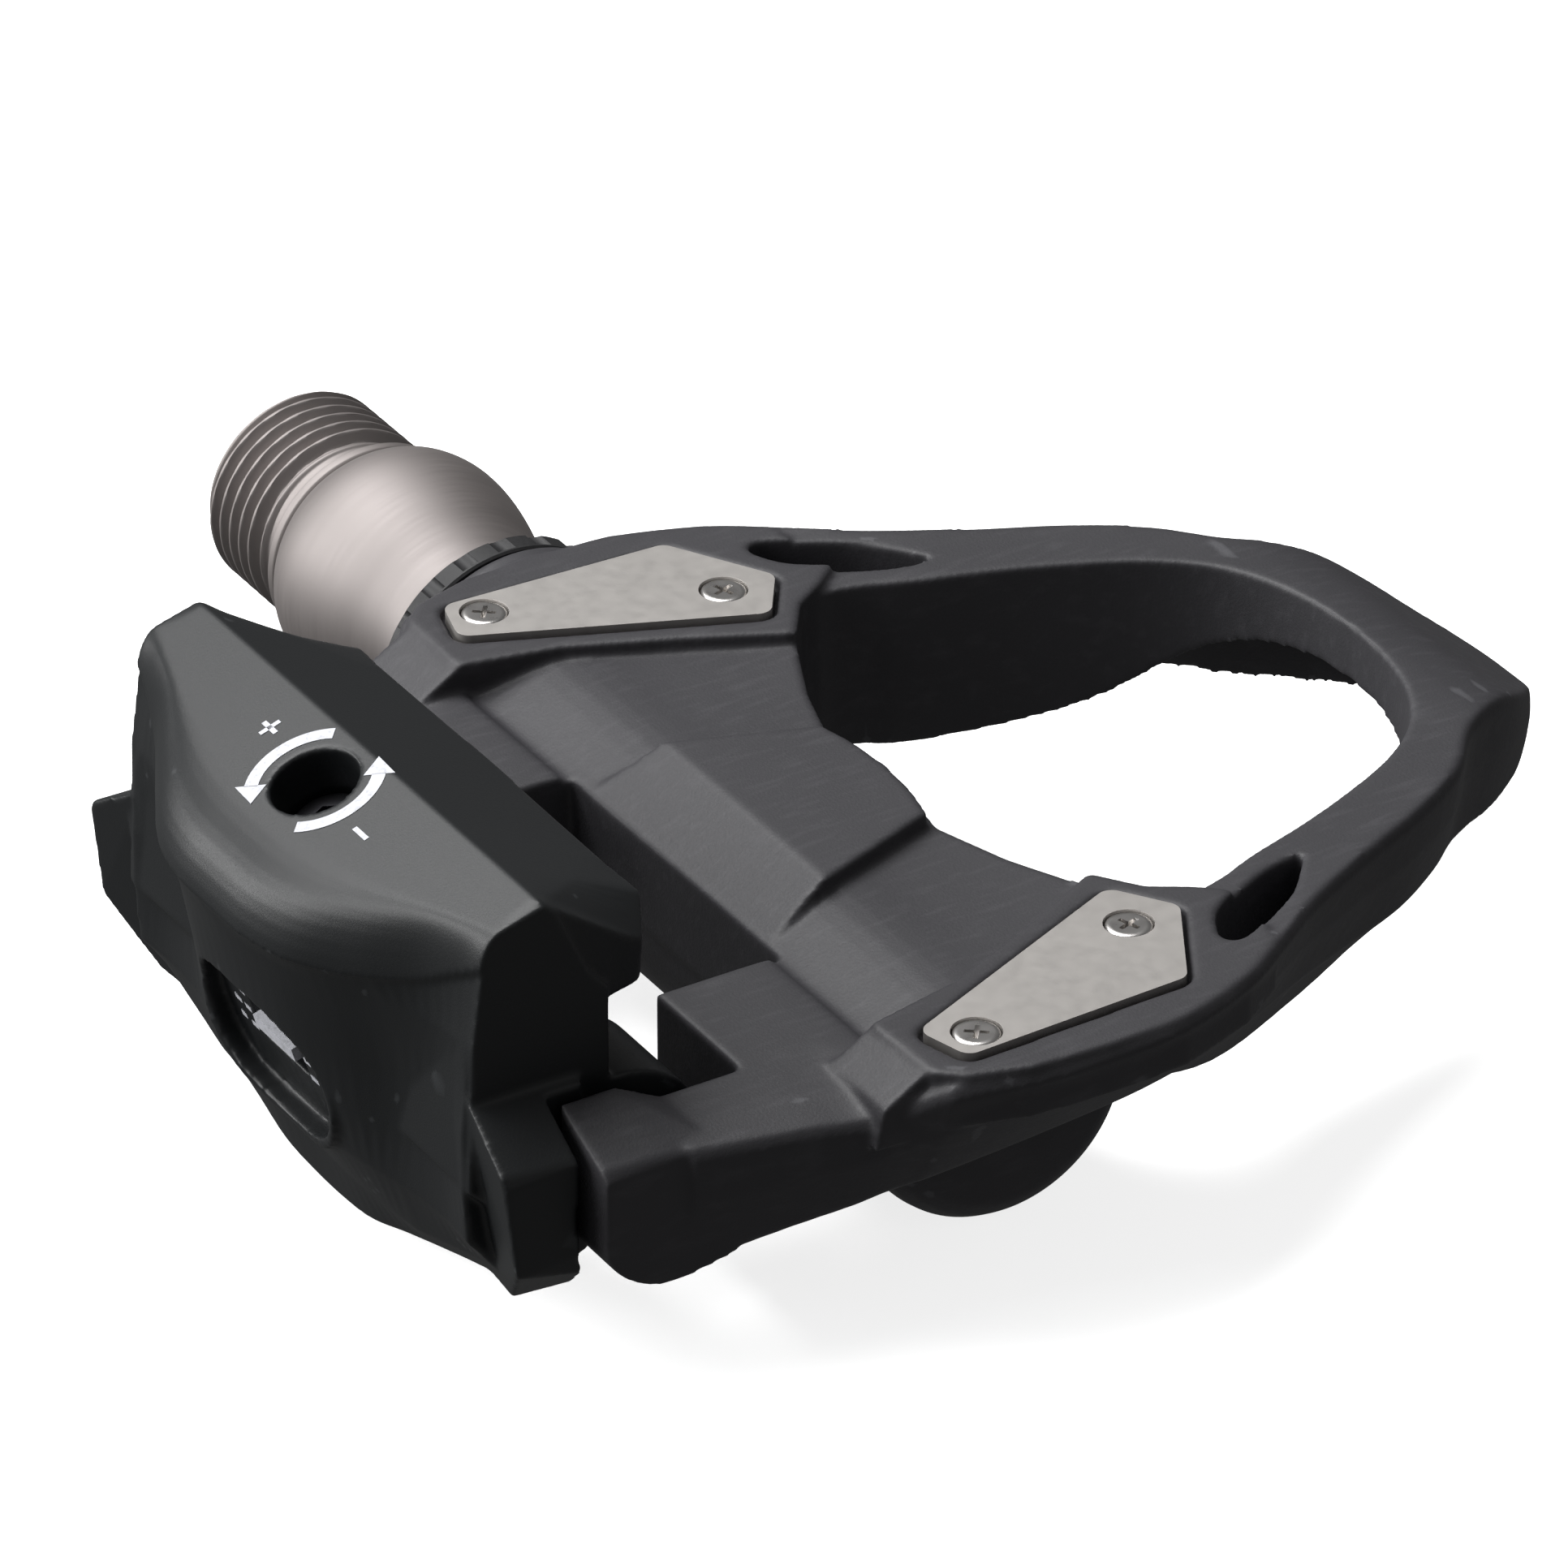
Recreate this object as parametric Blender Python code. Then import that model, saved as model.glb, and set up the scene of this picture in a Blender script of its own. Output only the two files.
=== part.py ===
"""Road clipless pedal, right side: one object per physical piece.

Design frame, in millimetres: X forward to the nose, Y inboard to the crank, Z up.
The spindle's axis is X = 0, Y = 0 is the middle of the cleat platform and Z = 0 is
the top of the two steel cover plates. FRAME_SHIFT moves that frame so that the
origin lies under the middle of the whole pedal, on the plane it rests on.
"""

import math

import bmesh
import bpy
from mathutils import Matrix, Vector

MM = 0.001
FRAME_SHIFT = Vector((-5.85, -15.26, 19.055))

# Spindle and bearings
AXLE_Z = -9.8
CRANK_SEAT_Y = 56.0
THREAD_R = 7.144
THREAD_PITCH = 1.27
THREAD_DEPTH = 0.78
THREAD_CRESTS = 6
THREAD_RELIEF = 2.1
HEX_SOCKET_AF = 8.0
HEX_SOCKET_DEPTH = 7.5
BELL_R = 8.8
FLANGE_R = 7.55
JOURNAL_R = 6.6
HOUSING_R = 9.3
HOUSING_OUTBOARD_Y = -24.6
HOUSING_MOUTH_Y = 36.5
BORE_R = 7.15
MOUTH_BORE_R = 8.05
BORE_END_Y = -23.2
MOUTH_STEP_Y = 31.0
SLEEVE_R = 7.0
BALL_R = 1.15
BALL_CIRCLE_R = 4.98
BALL_COUNT = 12
BALLS_INBOARD_Y = 28.6
BALLS_OUTBOARD_Y = -16.8

LOCK_NUT_R = 4.6
LOCK_NUT_BORE_R = 3.15

# Rear claw, its pin and its springs
PIN_X = -26.3
PIN_Z = -6.8
PIN_R = 2.0
PIN_HOLE_R = 2.12
PIN_HALF = 26.9
ARM_END_R = 5.3
ARM_INNER_Y = 22.5
ARM_OUTER_Y = 28.0
ARM_BACK_X = -31.2
CLAW_BOSS_R = 5.9
CHEEK_INNER_Y = 13.5
CHEEK_OUTER_Y = 21.3
CHEEK_FRONT_X = -26.9
LUG_Y = 26.0
LUG_FRONT_X = -31.9
LUG_GAP_R = 5.75
ARM_ROOM_Y = 21.9
SPRING_WIRE_R = 0.9
SPRING_COIL_R = 3.2
SPRING_TURNS = 4.5
SPRING_INNER_Y = 3.4
SPRING_OUTER_Y = 11.5
SPRING_LEG_X = -10.6
SPRING_TAIL_X = -31.4

# Tension bolt, square to the back slope of the hood
BOLT_TOP = Vector((-35.0, 0.0, 11.4))
BOLT_TILT = math.radians(17.0)
BOLT_HOLE_R = 2.85
BOLT_HEAD_R = 2.6
BOLT_SHANK_R = 1.95
BOLT_KEY_AF = 2.5
BOSS_R = 4.3

# Platform
STRIP_Z = -0.25
STRIP_FOOT_Z = -4.0
PLATEAU_Z = -2.3
DECK_TRIM_Z = -1.6
BAY_FRONT_X = -9.55
BAY_HALF_Y = 12.6
CHEEK_BAY_X = -18.6
BAY_BACK_X = -40.0
GROOVE_FOOT_Z = -5.4
PLATE_THICK = 1.0
PLATE_FIT = 0.25
SCREWS = ((8.5, 24.0), (-6.1, 29.6))
SCREW_HEAD_R = 1.5
SCREW_SHANK_R = 1.1
SCREW_LENGTH = 3.8
ABOVE = 6.0
BELOW = -26.0
RING_STEPS = 32
WELD = 0.002

# Stations of the platform from nose to tail:
# x, rim |y|, rim z, lower edge |y|, lower edge z, middle top z, middle bottom z
STATIONS = (
    (54.4, 0.8, -9.0, 0.8, -12.0, -8.8, -12.1),
    (53.7, 2.5, -8.2, 2.3, -11.9, -8.0, -12.0),
    (52.2, 4.5, -6.9, 4.1, -11.8, -6.8, -11.9),
    (50.2, 6.8, -5.4, 6.2, -11.7, -5.3, -11.0),
    (47.9, 9.2, -3.6, 8.1, -11.5, -3.5, -8.6),
    (45.4, 11.2, -2.0, 9.9, -11.2, -1.8, -6.2),
    (42.8, 12.9, -1.2, 11.4, -10.8, -1.1, -4.6),
    (40.4, 14.7, -1.0, 12.9, -10.6, -0.9, -5.2),
    (37.3, 18.1, -1.0, 15.6, -10.2, -0.9, -7.2),
    (32.5, 21.1, -0.9, 18.9, -9.7, -0.9, -10.6),
    (27.2, 23.6, -0.8, 21.2, -9.4, -0.9, -12.2),
    (21.0, 26.8, -0.6, 24.0, -9.0, -0.9, -12.8),
    (16.2, 30.0, -0.5, 26.4, -8.8, -0.9, -12.6),
    (12.0, 32.8, -0.5, 28.2, -8.6, -1.1, -11.6),
    (6.1, 34.9, -0.6, 29.8, -8.5, -1.3, -9.6),
    (0.5, 35.2, -0.8, 30.4, -8.6, -1.3, -9.2),
    (-4.6, 34.9, -0.9, 30.4, -9.0, -1.3, -9.2),
    (-9.6, 33.7, -1.1, 30.0, -9.6, -2.8, -9.4),
    (-10.5, 33.1, -1.5, 29.6, -9.9, -2.4, -9.6),
    (-12.2, 31.9, -2.5, 29.2, -10.2, -2.3, -9.8),
    (-14.2, 30.8, -3.4, 28.9, -10.6, -2.3, -10.0),
    (-18.0, 29.9, -3.3, 28.4, -11.0, -2.3, -10.3),
    (-22.0, 29.2, -3.2, 28.0, -11.4, -2.3, -10.8),
    (-25.4, 28.6, -3.1, 27.6, -11.6, -2.3, -11.0),
)

# Half outlines, |y| >= 0
LOOP_HALF = (
    (41.4, 0.0), (41.0, 4.2), (39.8, 8.3), (38.2, 11.4), (34.0, 14.6), (29.1, 16.7),
    (24.8, 18.5), (21.2, 19.4), (19.2, 20.3), (17.2, 21.3), (14.5, 21.7), (12.1, 20.3),
    (9.9, 17.2), (7.4, 11.8), (5.7, 6.4), (5.9, 4.8), (6.4, 2.6), (6.6, 0.0),
)
# Depth of the loop's wall, then how far its outline is moved outward there
LOOP_LEVELS = ((-24.0, -0.9), (-6.4, -0.3), (4.0, 0.25))
PLATE_OUTLINE = ((9.57, 19.8), (12.35, 23.87), (8.2, 31.05), (-8.0, 31.66), (-9.1, 27.7))
STRIP_OUTLINE = (
    (9.9, 17.2), (12.1, 20.3), (14.6, 21.9), (16.4, 23.4), (15.6, 29.9), (11.9, 32.4),
    (6.1, 34.4), (0.5, 34.7), (-5.0, 34.4), (-9.0, 33.2), (-10.6, 31.8), (-10.9, 25.4),
    (-10.2, 24.9), (-3.8, 23.5), (3.4, 20.4),
)
GROOVE_OUTLINE = (
    (12.9, 28.2), (13.9, 28.6), (16.6, 27.3), (19.7, 25.3), (22.7, 22.0), (22.3, 21.6),
    (19.3, 22.3), (14.6, 24.9), (13.0, 27.2),
)

# Rim of the hood: |y|, X of its top edge, then X and Z of the crease below it
RIM_LINE = (
    (0.0, -38.4, -42.7, 5.0), (4.0, -38.3, -42.6, 5.0), (8.0, -37.9, -41.7, 5.1),
    (12.0, -37.1, -39.7, 5.5), (16.0, -36.0, -37.5, 6.6), (19.0, -35.1, -36.4, 8.2),
    (21.0, -34.4, -35.9, 9.3), (21.3, -34.3, -35.8, 9.4),
)
# Lip of the hood: |y|, front edge (X, Z), lower end of the band (X, Z), underside (X, Z)
LIP_LINE = (
    (0.0, -22.6, 9.05, -24.0, 9.65, -22.8, 4.4), (13.4, -22.8, 9.1, -24.0, 9.6, -22.8, 4.4),
    (17.0, -22.15, 8.5, -26.9, 10.8, -22.5, 4.4), (20.0, -23.8, 7.0, -30.4, 12.2, -24.0, 4.3),
    (21.0, -30.4, 11.9, -31.2, 12.6, -27.2, 4.5), (21.3, -30.6, 11.6, -31.2, 12.3, -27.4, 4.6),
)
HOOD_SPOTS = (0.0, 4.0, 8.0, 11.0, 13.4, 15.2, 17.0, 18.5, 20.0, 21.0, 21.3)
RIDGE_X = -31.4
RIDGE_Z = 12.8
HOOD_SLOPE = math.tan(math.radians(18.6))
RIM_STEPS = 5

# Back wall of the claw: |y|, X at each height of BACK_LEVELS, then Z of the foot
BACK_LEVELS = (4.0, 2.0, -2.0, -6.0, -10.0, -14.0)
BACK_RIBS = (
    (0.0, -42.2, -41.7, -40.9, -39.7, -38.0, -35.8, -18.6),
    (5.0, -41.7, -41.2, -40.5, -39.6, -38.1, -35.9, -18.1),
    (9.0, -40.5, -39.9, -39.1, -38.5, -37.5, -35.7, -17.0),
    (13.0, -38.4, -37.9, -37.0, -36.7, -36.6, -35.4, -16.0),
    (17.0, -36.9, -36.6, -36.3, -36.3, -36.3, -35.2, -15.0),
    (20.6, -36.4, -36.6, -36.9, -36.9, -36.6, -34.9, -14.3),
)
# Scale window in the back wall
WINDOW_Z = -6.3
WINDOW_HALF_Y = 7.4
WINDOW_HALF_Z = 5.2
WINDOW_DEPTH = 1.3
WINDOW_LIP = 0.55
SLOT = ((-2.9, -7.4), (2.9, -7.4), (2.9, -2.4), (-2.9, -2.4))
# The claw's inside in the X-Z plane, then how far its back moves in at each Y
CAVITY = (
    (-18.0, 4.9), (-23.8, 5.2), (-31.2, 9.6), (-37.6, 7.4), (-39.8, 5.2), (-38.9, 0.2),
    (-36.9, -6.2), (-34.1, -12.0), (-31.6, -16.6), (-30.9, -22.0), (-18.0, -22.0),
)
CAVITY_SQUEEZE = ((-13.5, 3.0), (-10.0, 1.2), (-5.5, 0.0), (5.5, 0.0), (10.0, 1.2), (13.5, 3.0))
# Pointer leaf of the tension nut, in the bolt's frame
LEAF_HALF_Y = 2.6
LEAF_AHEAD = (-6.2, -5.4)
LEAF_DEPTH = (9.9, 18.0)


def clear_scene():
    for obj in list(bpy.data.objects):
        bpy.data.objects.remove(obj, do_unlink=True)


def material(name, colour, roughness, metallic=0.0):
    made = bpy.data.materials.new(name)
    made.use_nodes = True
    shader = made.node_tree.nodes["Principled BSDF"]
    shader.inputs["Base Color"].default_value = (*colour, 1.0)
    shader.inputs["Roughness"].default_value = roughness
    shader.inputs["Metallic"].default_value = metallic
    return made


def tidy(mesh):
    """Joins points that coincide, and leaves flat triangles that all face outward."""
    shell = bmesh.new()
    shell.from_mesh(mesh)
    bmesh.ops.remove_doubles(shell, verts=shell.verts, dist=WELD * MM)
    bmesh.ops.dissolve_degenerate(shell, edges=shell.edges, dist=WELD * MM)
    bmesh.ops.triangulate(shell, faces=shell.faces)
    bmesh.ops.recalc_face_normals(shell, faces=shell.faces)
    shell.to_mesh(mesh)
    shell.free()


def mesh_object(name, points, faces, origin=(0.0, 0.0, 0.0)):
    """An object from design-frame points, with its origin at the given point."""
    centre = Vector(origin)
    mesh = bpy.data.meshes.new(name)
    mesh.from_pydata([(Vector(p) - centre) * MM for p in points], [], faces)
    tidy(mesh)
    made = bpy.data.objects.new(name, mesh)
    made.location = (centre + FRAME_SHIFT) * MM
    bpy.context.collection.objects.link(made)
    return made


def hull(name, points, origin=(0.0, 0.0, 0.0)):
    """The convex solid round the given points."""
    centre = Vector(origin)
    shell = bmesh.new()
    for point in points:
        shell.verts.new((Vector(point) - centre) * MM)
    grown = bmesh.ops.convex_hull(shell, input=shell.verts)
    loose = [v for v in grown["geom_interior"] if isinstance(v, bmesh.types.BMVert)]
    loose += [v for v in grown["geom_unused"] if isinstance(v, bmesh.types.BMVert)]
    bmesh.ops.delete(shell, geom=list(set(loose)), context="VERTS")
    bmesh.ops.recalc_face_normals(shell, faces=shell.faces)
    mesh = bpy.data.meshes.new(name)
    shell.to_mesh(mesh)
    shell.free()
    made = bpy.data.objects.new(name, mesh)
    made.location = (centre + FRAME_SHIFT) * MM
    bpy.context.collection.objects.link(made)
    return made


def loft(name, sections, origin=(0.0, 0.0, 0.0)):
    """A solid through closed sections that all have the same number of points."""
    count = len(sections[0])
    points = [p for section in sections for p in section]
    faces = [tuple(range(count - 1, -1, -1))]
    for row in range(len(sections) - 1):
        for i in range(count):
            j = (i + 1) % count
            low = row * count
            high = low + count
            faces.append((low + i, low + j, high + j, high + i))
    last = (len(sections) - 1) * count
    faces.append(tuple(range(last, last + count)))
    return mesh_object(name, points, faces, origin)


def prism(name, outline, low, high, origin=(0.0, 0.0, 0.0)):
    """A plan outline pulled straight up from low to high."""
    return loft(name, [[(x, y, z) for x, y in outline] for z in (low, high)], origin)


def side_prism(name, outline, low, high, origin=(0.0, 0.0, 0.0)):
    """An outline in the X-Z plane pulled along Y from low to high."""
    return loft(name, [[(x, y, z) for x, z in outline] for y in (low, high)], origin)


def turned(name, profile, centre, axis="Y", steps=RING_STEPS, origin=None):
    """A solid or a ring turned round a line through centre.

    The profile is a closed list of (along, radius). Radius 0 lies on the axis.
    """
    base = Vector(centre)
    points = []
    rows = []
    for along, radius in profile:
        row = []
        for step in range(steps):
            if radius == 0.0 and step:
                row.append(row[0])
                continue
            angle = 2.0 * math.pi * (step + 0.5) / steps
            across = radius * math.cos(angle)
            upward = radius * math.sin(angle)
            offset = {"Y": (across, along, upward), "Z": (across, upward, along)}[axis]
            row.append(len(points))
            points.append(base + Vector(offset))
        rows.append(row)
    faces = []
    for k in range(len(rows)):
        here = rows[k]
        there = rows[(k + 1) % len(rows)]
        for step in range(steps):
            after = (step + 1) % steps
            ring = (here[step], here[after], there[after], there[step])
            face = tuple(dict.fromkeys(ring))
            if len(face) > 2:
                faces.append(face)
    return mesh_object(name, points, faces, base if origin is None else origin)


def disc(along_low, along_high, radius):
    """Profile of a plain cylinder for turned()."""
    return ((along_low, 0.0), (along_low, radius), (along_high, radius), (along_high, 0.0))


def tube(along_low, along_high, inner, outer):
    return (
        (along_low, inner), (along_low, outer), (along_high, outer), (along_high, inner),
    )


def arc(centre, radius, start, end, steps):
    """Points of a circle's arc, with the angles in degrees."""
    found = []
    for i in range(steps + 1):
        angle = math.radians(start + (end - start) * i / steps)
        found.append(
            (centre[0] + radius * math.cos(angle), centre[1] + radius * math.sin(angle))
        )
    return found


def rounded(outline, radius, steps=3):
    """The outline with each corner replaced by an arc."""
    found = []
    count = len(outline)
    for i in range(count):
        before = Vector(outline[i - 1])
        corner = Vector(outline[i])
        after = Vector(outline[(i + 1) % count])
        to_before = (before - corner).normalized()
        to_after = (after - corner).normalized()
        half = to_before.angle(to_after) / 2.0
        reach = radius / math.tan(half)
        start = corner + to_before * reach
        end = corner + to_after * reach
        centre = corner + (to_before + to_after).normalized() * (radius / math.sin(half))
        for step in range(steps + 1):
            blend = start.lerp(end, step / steps)
            found.append(tuple(centre + (blend - centre).normalized() * radius))
    return found


def grown(outline, distance):
    """The outline moved outward, each corner along its own bisector."""
    found = []
    count = len(outline)
    area = sum(
        outline[i - 1][0] * outline[i][1] - outline[i][0] * outline[i - 1][1]
        for i in range(count)
    )
    turn = 1.0 if area > 0 else -1.0
    for i in range(count):
        before = Vector(outline[i]) - Vector(outline[i - 1])
        after = Vector(outline[(i + 1) % count]) - Vector(outline[i])
        normal = Vector((before.y, -before.x)).normalized()
        normal += Vector((after.y, -after.x)).normalized()
        normal.normalize()
        edge = Vector((after.y, -after.x)).normalized()
        reach = distance / max(0.5, normal.dot(edge))
        found.append(tuple(Vector(outline[i]) + normal * reach * turn))
    return found


def between(value, places, heights):
    """The height at value on the line through rising places, held at both ends."""
    if value <= places[0]:
        return heights[0]
    for i in range(1, len(places)):
        if value <= places[i]:
            share = (value - places[i - 1]) / (places[i] - places[i - 1])
            return heights[i - 1] + share * (heights[i] - heights[i - 1])
    return heights[-1]


def oval(half_wide, half_high, centre_z, steps=28):
    """A squarish oval in the Y-Z plane."""
    found = []
    for k in range(steps):
        angle = 2.0 * math.pi * k / steps
        c = math.cos(angle)
        s = math.sin(angle)
        y = half_wide * math.copysign(abs(c) ** 0.85, c)
        found.append((y, centre_z + half_high * math.copysign(abs(s) ** 0.85, s)))
    return found


def mirrored(outline):
    return [(x, -y) for x, y in outline]


def combine(target, other, operation):
    """Applies one exact Boolean to the target and removes the other object."""
    step = target.modifiers.new(operation, "BOOLEAN")
    step.operation = operation
    step.object = other
    step.solver = "EXACT"
    graph = bpy.context.evaluated_depsgraph_get()
    result = bpy.data.meshes.new_from_object(target.evaluated_get(graph))
    target.modifiers.clear()
    tidy(result)
    old = target.data
    target.data = result
    bpy.data.meshes.remove(old)
    bpy.data.objects.remove(other, do_unlink=True)


def join(target, *others):
    for other in others:
        combine(target, other, "UNION")


def cut(target, *others):
    for other in others:
        combine(target, other, "DIFFERENCE")


def finish(obj, look, name=None):
    """Names the node and gives it its one material."""
    if name:
        obj.name = name
        obj.data.name = name
    obj.data.materials.clear()
    obj.data.materials.append(look)
    return obj


# ---------------------------------------------------------------- pedal body


def rim_section(x, rim_y, rim_z, low_y, low_z, top_z, bottom_z):
    """One cross-section of the platform, a closed loop from right to left."""
    inner_y = min(0.72 * rim_y, 0.9 * low_y)
    waist_z = rim_z + 0.42 * (low_z - rim_z)
    half = [
        (inner_y, top_z),
        (0.9 * rim_y, 0.6 * top_z + 0.4 * rim_z + 0.1),
        (rim_y - 0.08 * rim_y**0.5, rim_z + 0.2),
        (rim_y, rim_z - 0.5),
        (0.35 * low_y + 0.65 * rim_y + 0.15, waist_z),
        (low_y, low_z + 0.5),
        (low_y - 0.1 * low_y**0.5, low_z),
        (0.88 * low_y, bottom_z),
    ]
    loop = [(x, 0.0, top_z)]
    loop += [(x, y, z) for y, z in half]
    loop += [(x, 0.0, bottom_z)]
    loop += [(x, -y, z) for y, z in reversed(half)]
    return loop


def platform():
    """The plate-like body from nose to rear arms, with the loop cut out."""
    body = loft("pedal_body", [rim_section(*row) for row in STATIONS])
    loop = list(LOOP_HALF) + mirrored(reversed(LOOP_HALF[1:-1]))
    walls = [[(x, y, z) for x, y in grown(loop, reach)] for z, reach in LOOP_LEVELS]
    cut(body, loft("loop_cut", walls))
    return body


def strips(body):
    """Raised strips that carry the steel plates, sloping down at their rear ends."""
    slope = (
        (-8.0, STRIP_Z), (-10.4, STRIP_Z), (-13.8, PLATEAU_Z), (-14.4, -5.0), (-8.0, -5.0),
    )
    for side in (1, -1):
        outline = [(x, side * y) for x, y in STRIP_OUTLINE]
        join(body, prism("strip", outline, STRIP_FOOT_Z, STRIP_Z))
        low, high = sorted((side * 24.9, side * 31.4))
        join(body, side_prism("strip_slope", slope, low, high))


def centre_panel(body):
    """Raised panel over the axle housing, with its slope down to the spring bay."""
    panel = [(5.9, 0.0, 0.0), (6.1, 0.0, -7.0)]
    for side in (1, -1):
        panel += [(5.0, side * 6.3, 0.0), (5.6, side * 3.6, 0.0), (-4.6, side * 9.8, 0.0)]
        panel += [(-9.4, side * 10.8, -2.8), (-9.5, side * 10.8, -7.0)]
        panel += [(5.2, side * 6.5, -7.0)]
    join(body, hull("panel", panel))


def housing(body):
    """Tube for the axle unit, domed outboard, with a collar at its mouth.

    Its top is trimmed under the deck. The bore is returned, to be cut last.
    """
    out = HOUSING_OUTBOARD_Y
    centre = (0.0, 0.0, AXLE_Z)
    profile = (
        (out, 0.0), (out, 5.6), (out + 0.9, 7.8), (out + 2.6, HOUSING_R),
        (HOUSING_MOUTH_Y - 0.5, HOUSING_R), (HOUSING_MOUTH_Y, HOUSING_R - 0.4),
        (HOUSING_MOUTH_Y, 0.0),
    )
    tube_outside = turned("tube", profile, centre)
    trim = [(-13.0, -30.0), (13.0, -30.0), (13.0, 32.5), (-13.0, 32.5)]
    cut(tube_outside, prism("trim", trim, DECK_TRIM_Z, ABOVE))
    join(body, tube_outside)
    bore = (
        (BORE_END_Y, 0.0), (BORE_END_Y, BORE_R), (MOUTH_STEP_Y, BORE_R),
        (MOUTH_STEP_Y, MOUTH_BORE_R), (HOUSING_MOUTH_Y + 4.0, MOUTH_BORE_R),
        (HOUSING_MOUTH_Y + 4.0, 0.0),
    )
    return turned("bore", bore, centre)


def arm_end_points():
    """A hub round the pin, squared off behind and sloped on top like the claw's lug."""
    found = []
    for y in (ARM_INNER_Y, ARM_OUTER_Y):
        found += [(x, y, z) for x, z in arc((PIN_X, PIN_Z), ARM_END_R, 200, 290, 7)]
        found += [(ARM_BACK_X, y, -8.0), (-22.0, y, -11.4)]
    found += [(ARM_BACK_X, ARM_INNER_Y, -0.7), (-27.6, ARM_INNER_Y, -0.6)]
    found += [(-24.2, ARM_INNER_Y, -2.4), (-23.0, ARM_OUTER_Y, -3.2)]
    found += [(ARM_BACK_X, 27.5, -2.9), (ARM_BACK_X, ARM_OUTER_Y, -3.5), (-27.4, 27.7, -2.9)]
    return found


def rear_arms(body):
    """Bays for the springs and the claw's cheeks, and the arms' squared ends."""
    bay = [
        (BAY_BACK_X, -BAY_HALF_Y), (BAY_FRONT_X, -BAY_HALF_Y),
        (BAY_FRONT_X, BAY_HALF_Y), (BAY_BACK_X, BAY_HALF_Y),
    ]
    cut(body, prism("spring_bay", bay, BELOW, ABOVE))
    for side in (1, -1):
        low, high = sorted((side * 12.0, side * ARM_INNER_Y))
        bay = [(BAY_BACK_X, low), (CHEEK_BAY_X, low), (CHEEK_BAY_X, high), (BAY_BACK_X, high)]
        cut(body, prism("cheek_bay", bay, BELOW, ABOVE))
        join(body, hull("arm_end", [(x, side * y, z) for x, y, z in arm_end_points()]))
        depth = sorted((side * (ARM_INNER_Y - 2.0), side * (PIN_HALF + 0.3)))
        hole = turned("pin_hole", disc(*depth, PIN_HOLE_R), (PIN_X, 0.0, PIN_Z), steps=24)
        cut(body, hole)


def plate_seats(body):
    for side in (1, -1):
        outline = grown(rounded(PLATE_OUTLINE, 1.0), PLATE_FIT)
        seat = [(x, side * y) for x, y in outline]
        cut(body, prism("plate_seat", seat, -PLATE_THICK - 0.2, ABOVE))
        for x, y in SCREWS:
            hole = disc(-SCREW_LENGTH - 0.3, 2.0, SCREW_SHANK_R + 0.12)
            cut(body, turned("screw_hole", hole, (x, side * y, 0.0), "Z", 12))
        groove = [(x, side * y) for x, y in GROOVE_OUTLINE]
        cut(body, prism("groove", groove, GROOVE_FOOT_Z, ABOVE))


def make_body(look):
    body = platform()
    centre_panel(body)
    strips(body)
    bore = housing(body)
    rear_arms(body)
    cut(body, bore)
    plate_seats(body)
    return finish(body, look)


# ------------------------------------------------------------- plates, screws


def make_plate(name, side, look):
    outline = [(x, side * y) for x, y in rounded(PLATE_OUTLINE, 1.0)]
    plate = prism(name, outline, -PLATE_THICK, 0.0)
    for x, y in SCREWS:
        sink = (
            (-PLATE_THICK - 0.5, 0.0), (-PLATE_THICK - 0.5, SCREW_SHANK_R + 0.15),
            (-PLATE_THICK, SCREW_SHANK_R + 0.15), (-0.35, SCREW_HEAD_R + 0.12),
            (0.5, SCREW_HEAD_R + 0.12), (0.5, 0.0),
        )
        cut(plate, turned("sink", sink, (x, side * y, 0.0), "Z", 20))
    return finish(plate, look)


def make_screw(name, x, y, look):
    """Countersunk screw with a cross recess."""
    profile = (
        (-SCREW_LENGTH, 0.0), (-SCREW_LENGTH, SCREW_SHANK_R - 0.35),
        (-SCREW_LENGTH + 0.6, SCREW_SHANK_R), (-PLATE_THICK, SCREW_SHANK_R),
        (-0.4, SCREW_HEAD_R), (-0.18, SCREW_HEAD_R), (-0.06, SCREW_HEAD_R - 0.15),
        (-0.06, 0.0),
    )
    screw = turned(name, profile, (x, y, 0.0), "Z", 20)
    arm = 0.8
    width = 0.16
    for first, second in ((arm, width), (width, arm)):
        outline = [
            (x - first, y - second), (x + first, y - second),
            (x + first, y + second), (x - first, y + second),
        ]
        cut(screw, prism("recess", outline, -0.65, 0.5))
    return finish(screw, look)


# --------------------------------------------------------------- axle unit


def thread_profile():
    """Radii along the crank thread, from the seat outward."""
    start = CRANK_SEAT_Y + THREAD_RELIEF
    root = THREAD_R - THREAD_DEPTH
    found = [(CRANK_SEAT_Y, root), (start, root)]
    for turn in range(THREAD_CRESTS):
        y = start + turn * THREAD_PITCH
        found += [
            (y + 0.40 * THREAD_PITCH, THREAD_R), (y + 0.55 * THREAD_PITCH, THREAD_R),
            (y + 0.95 * THREAD_PITCH, root),
        ]
    end = start + THREAD_CRESTS * THREAD_PITCH
    return found + [(end, root - 0.4), (end, 0.0)]


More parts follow.
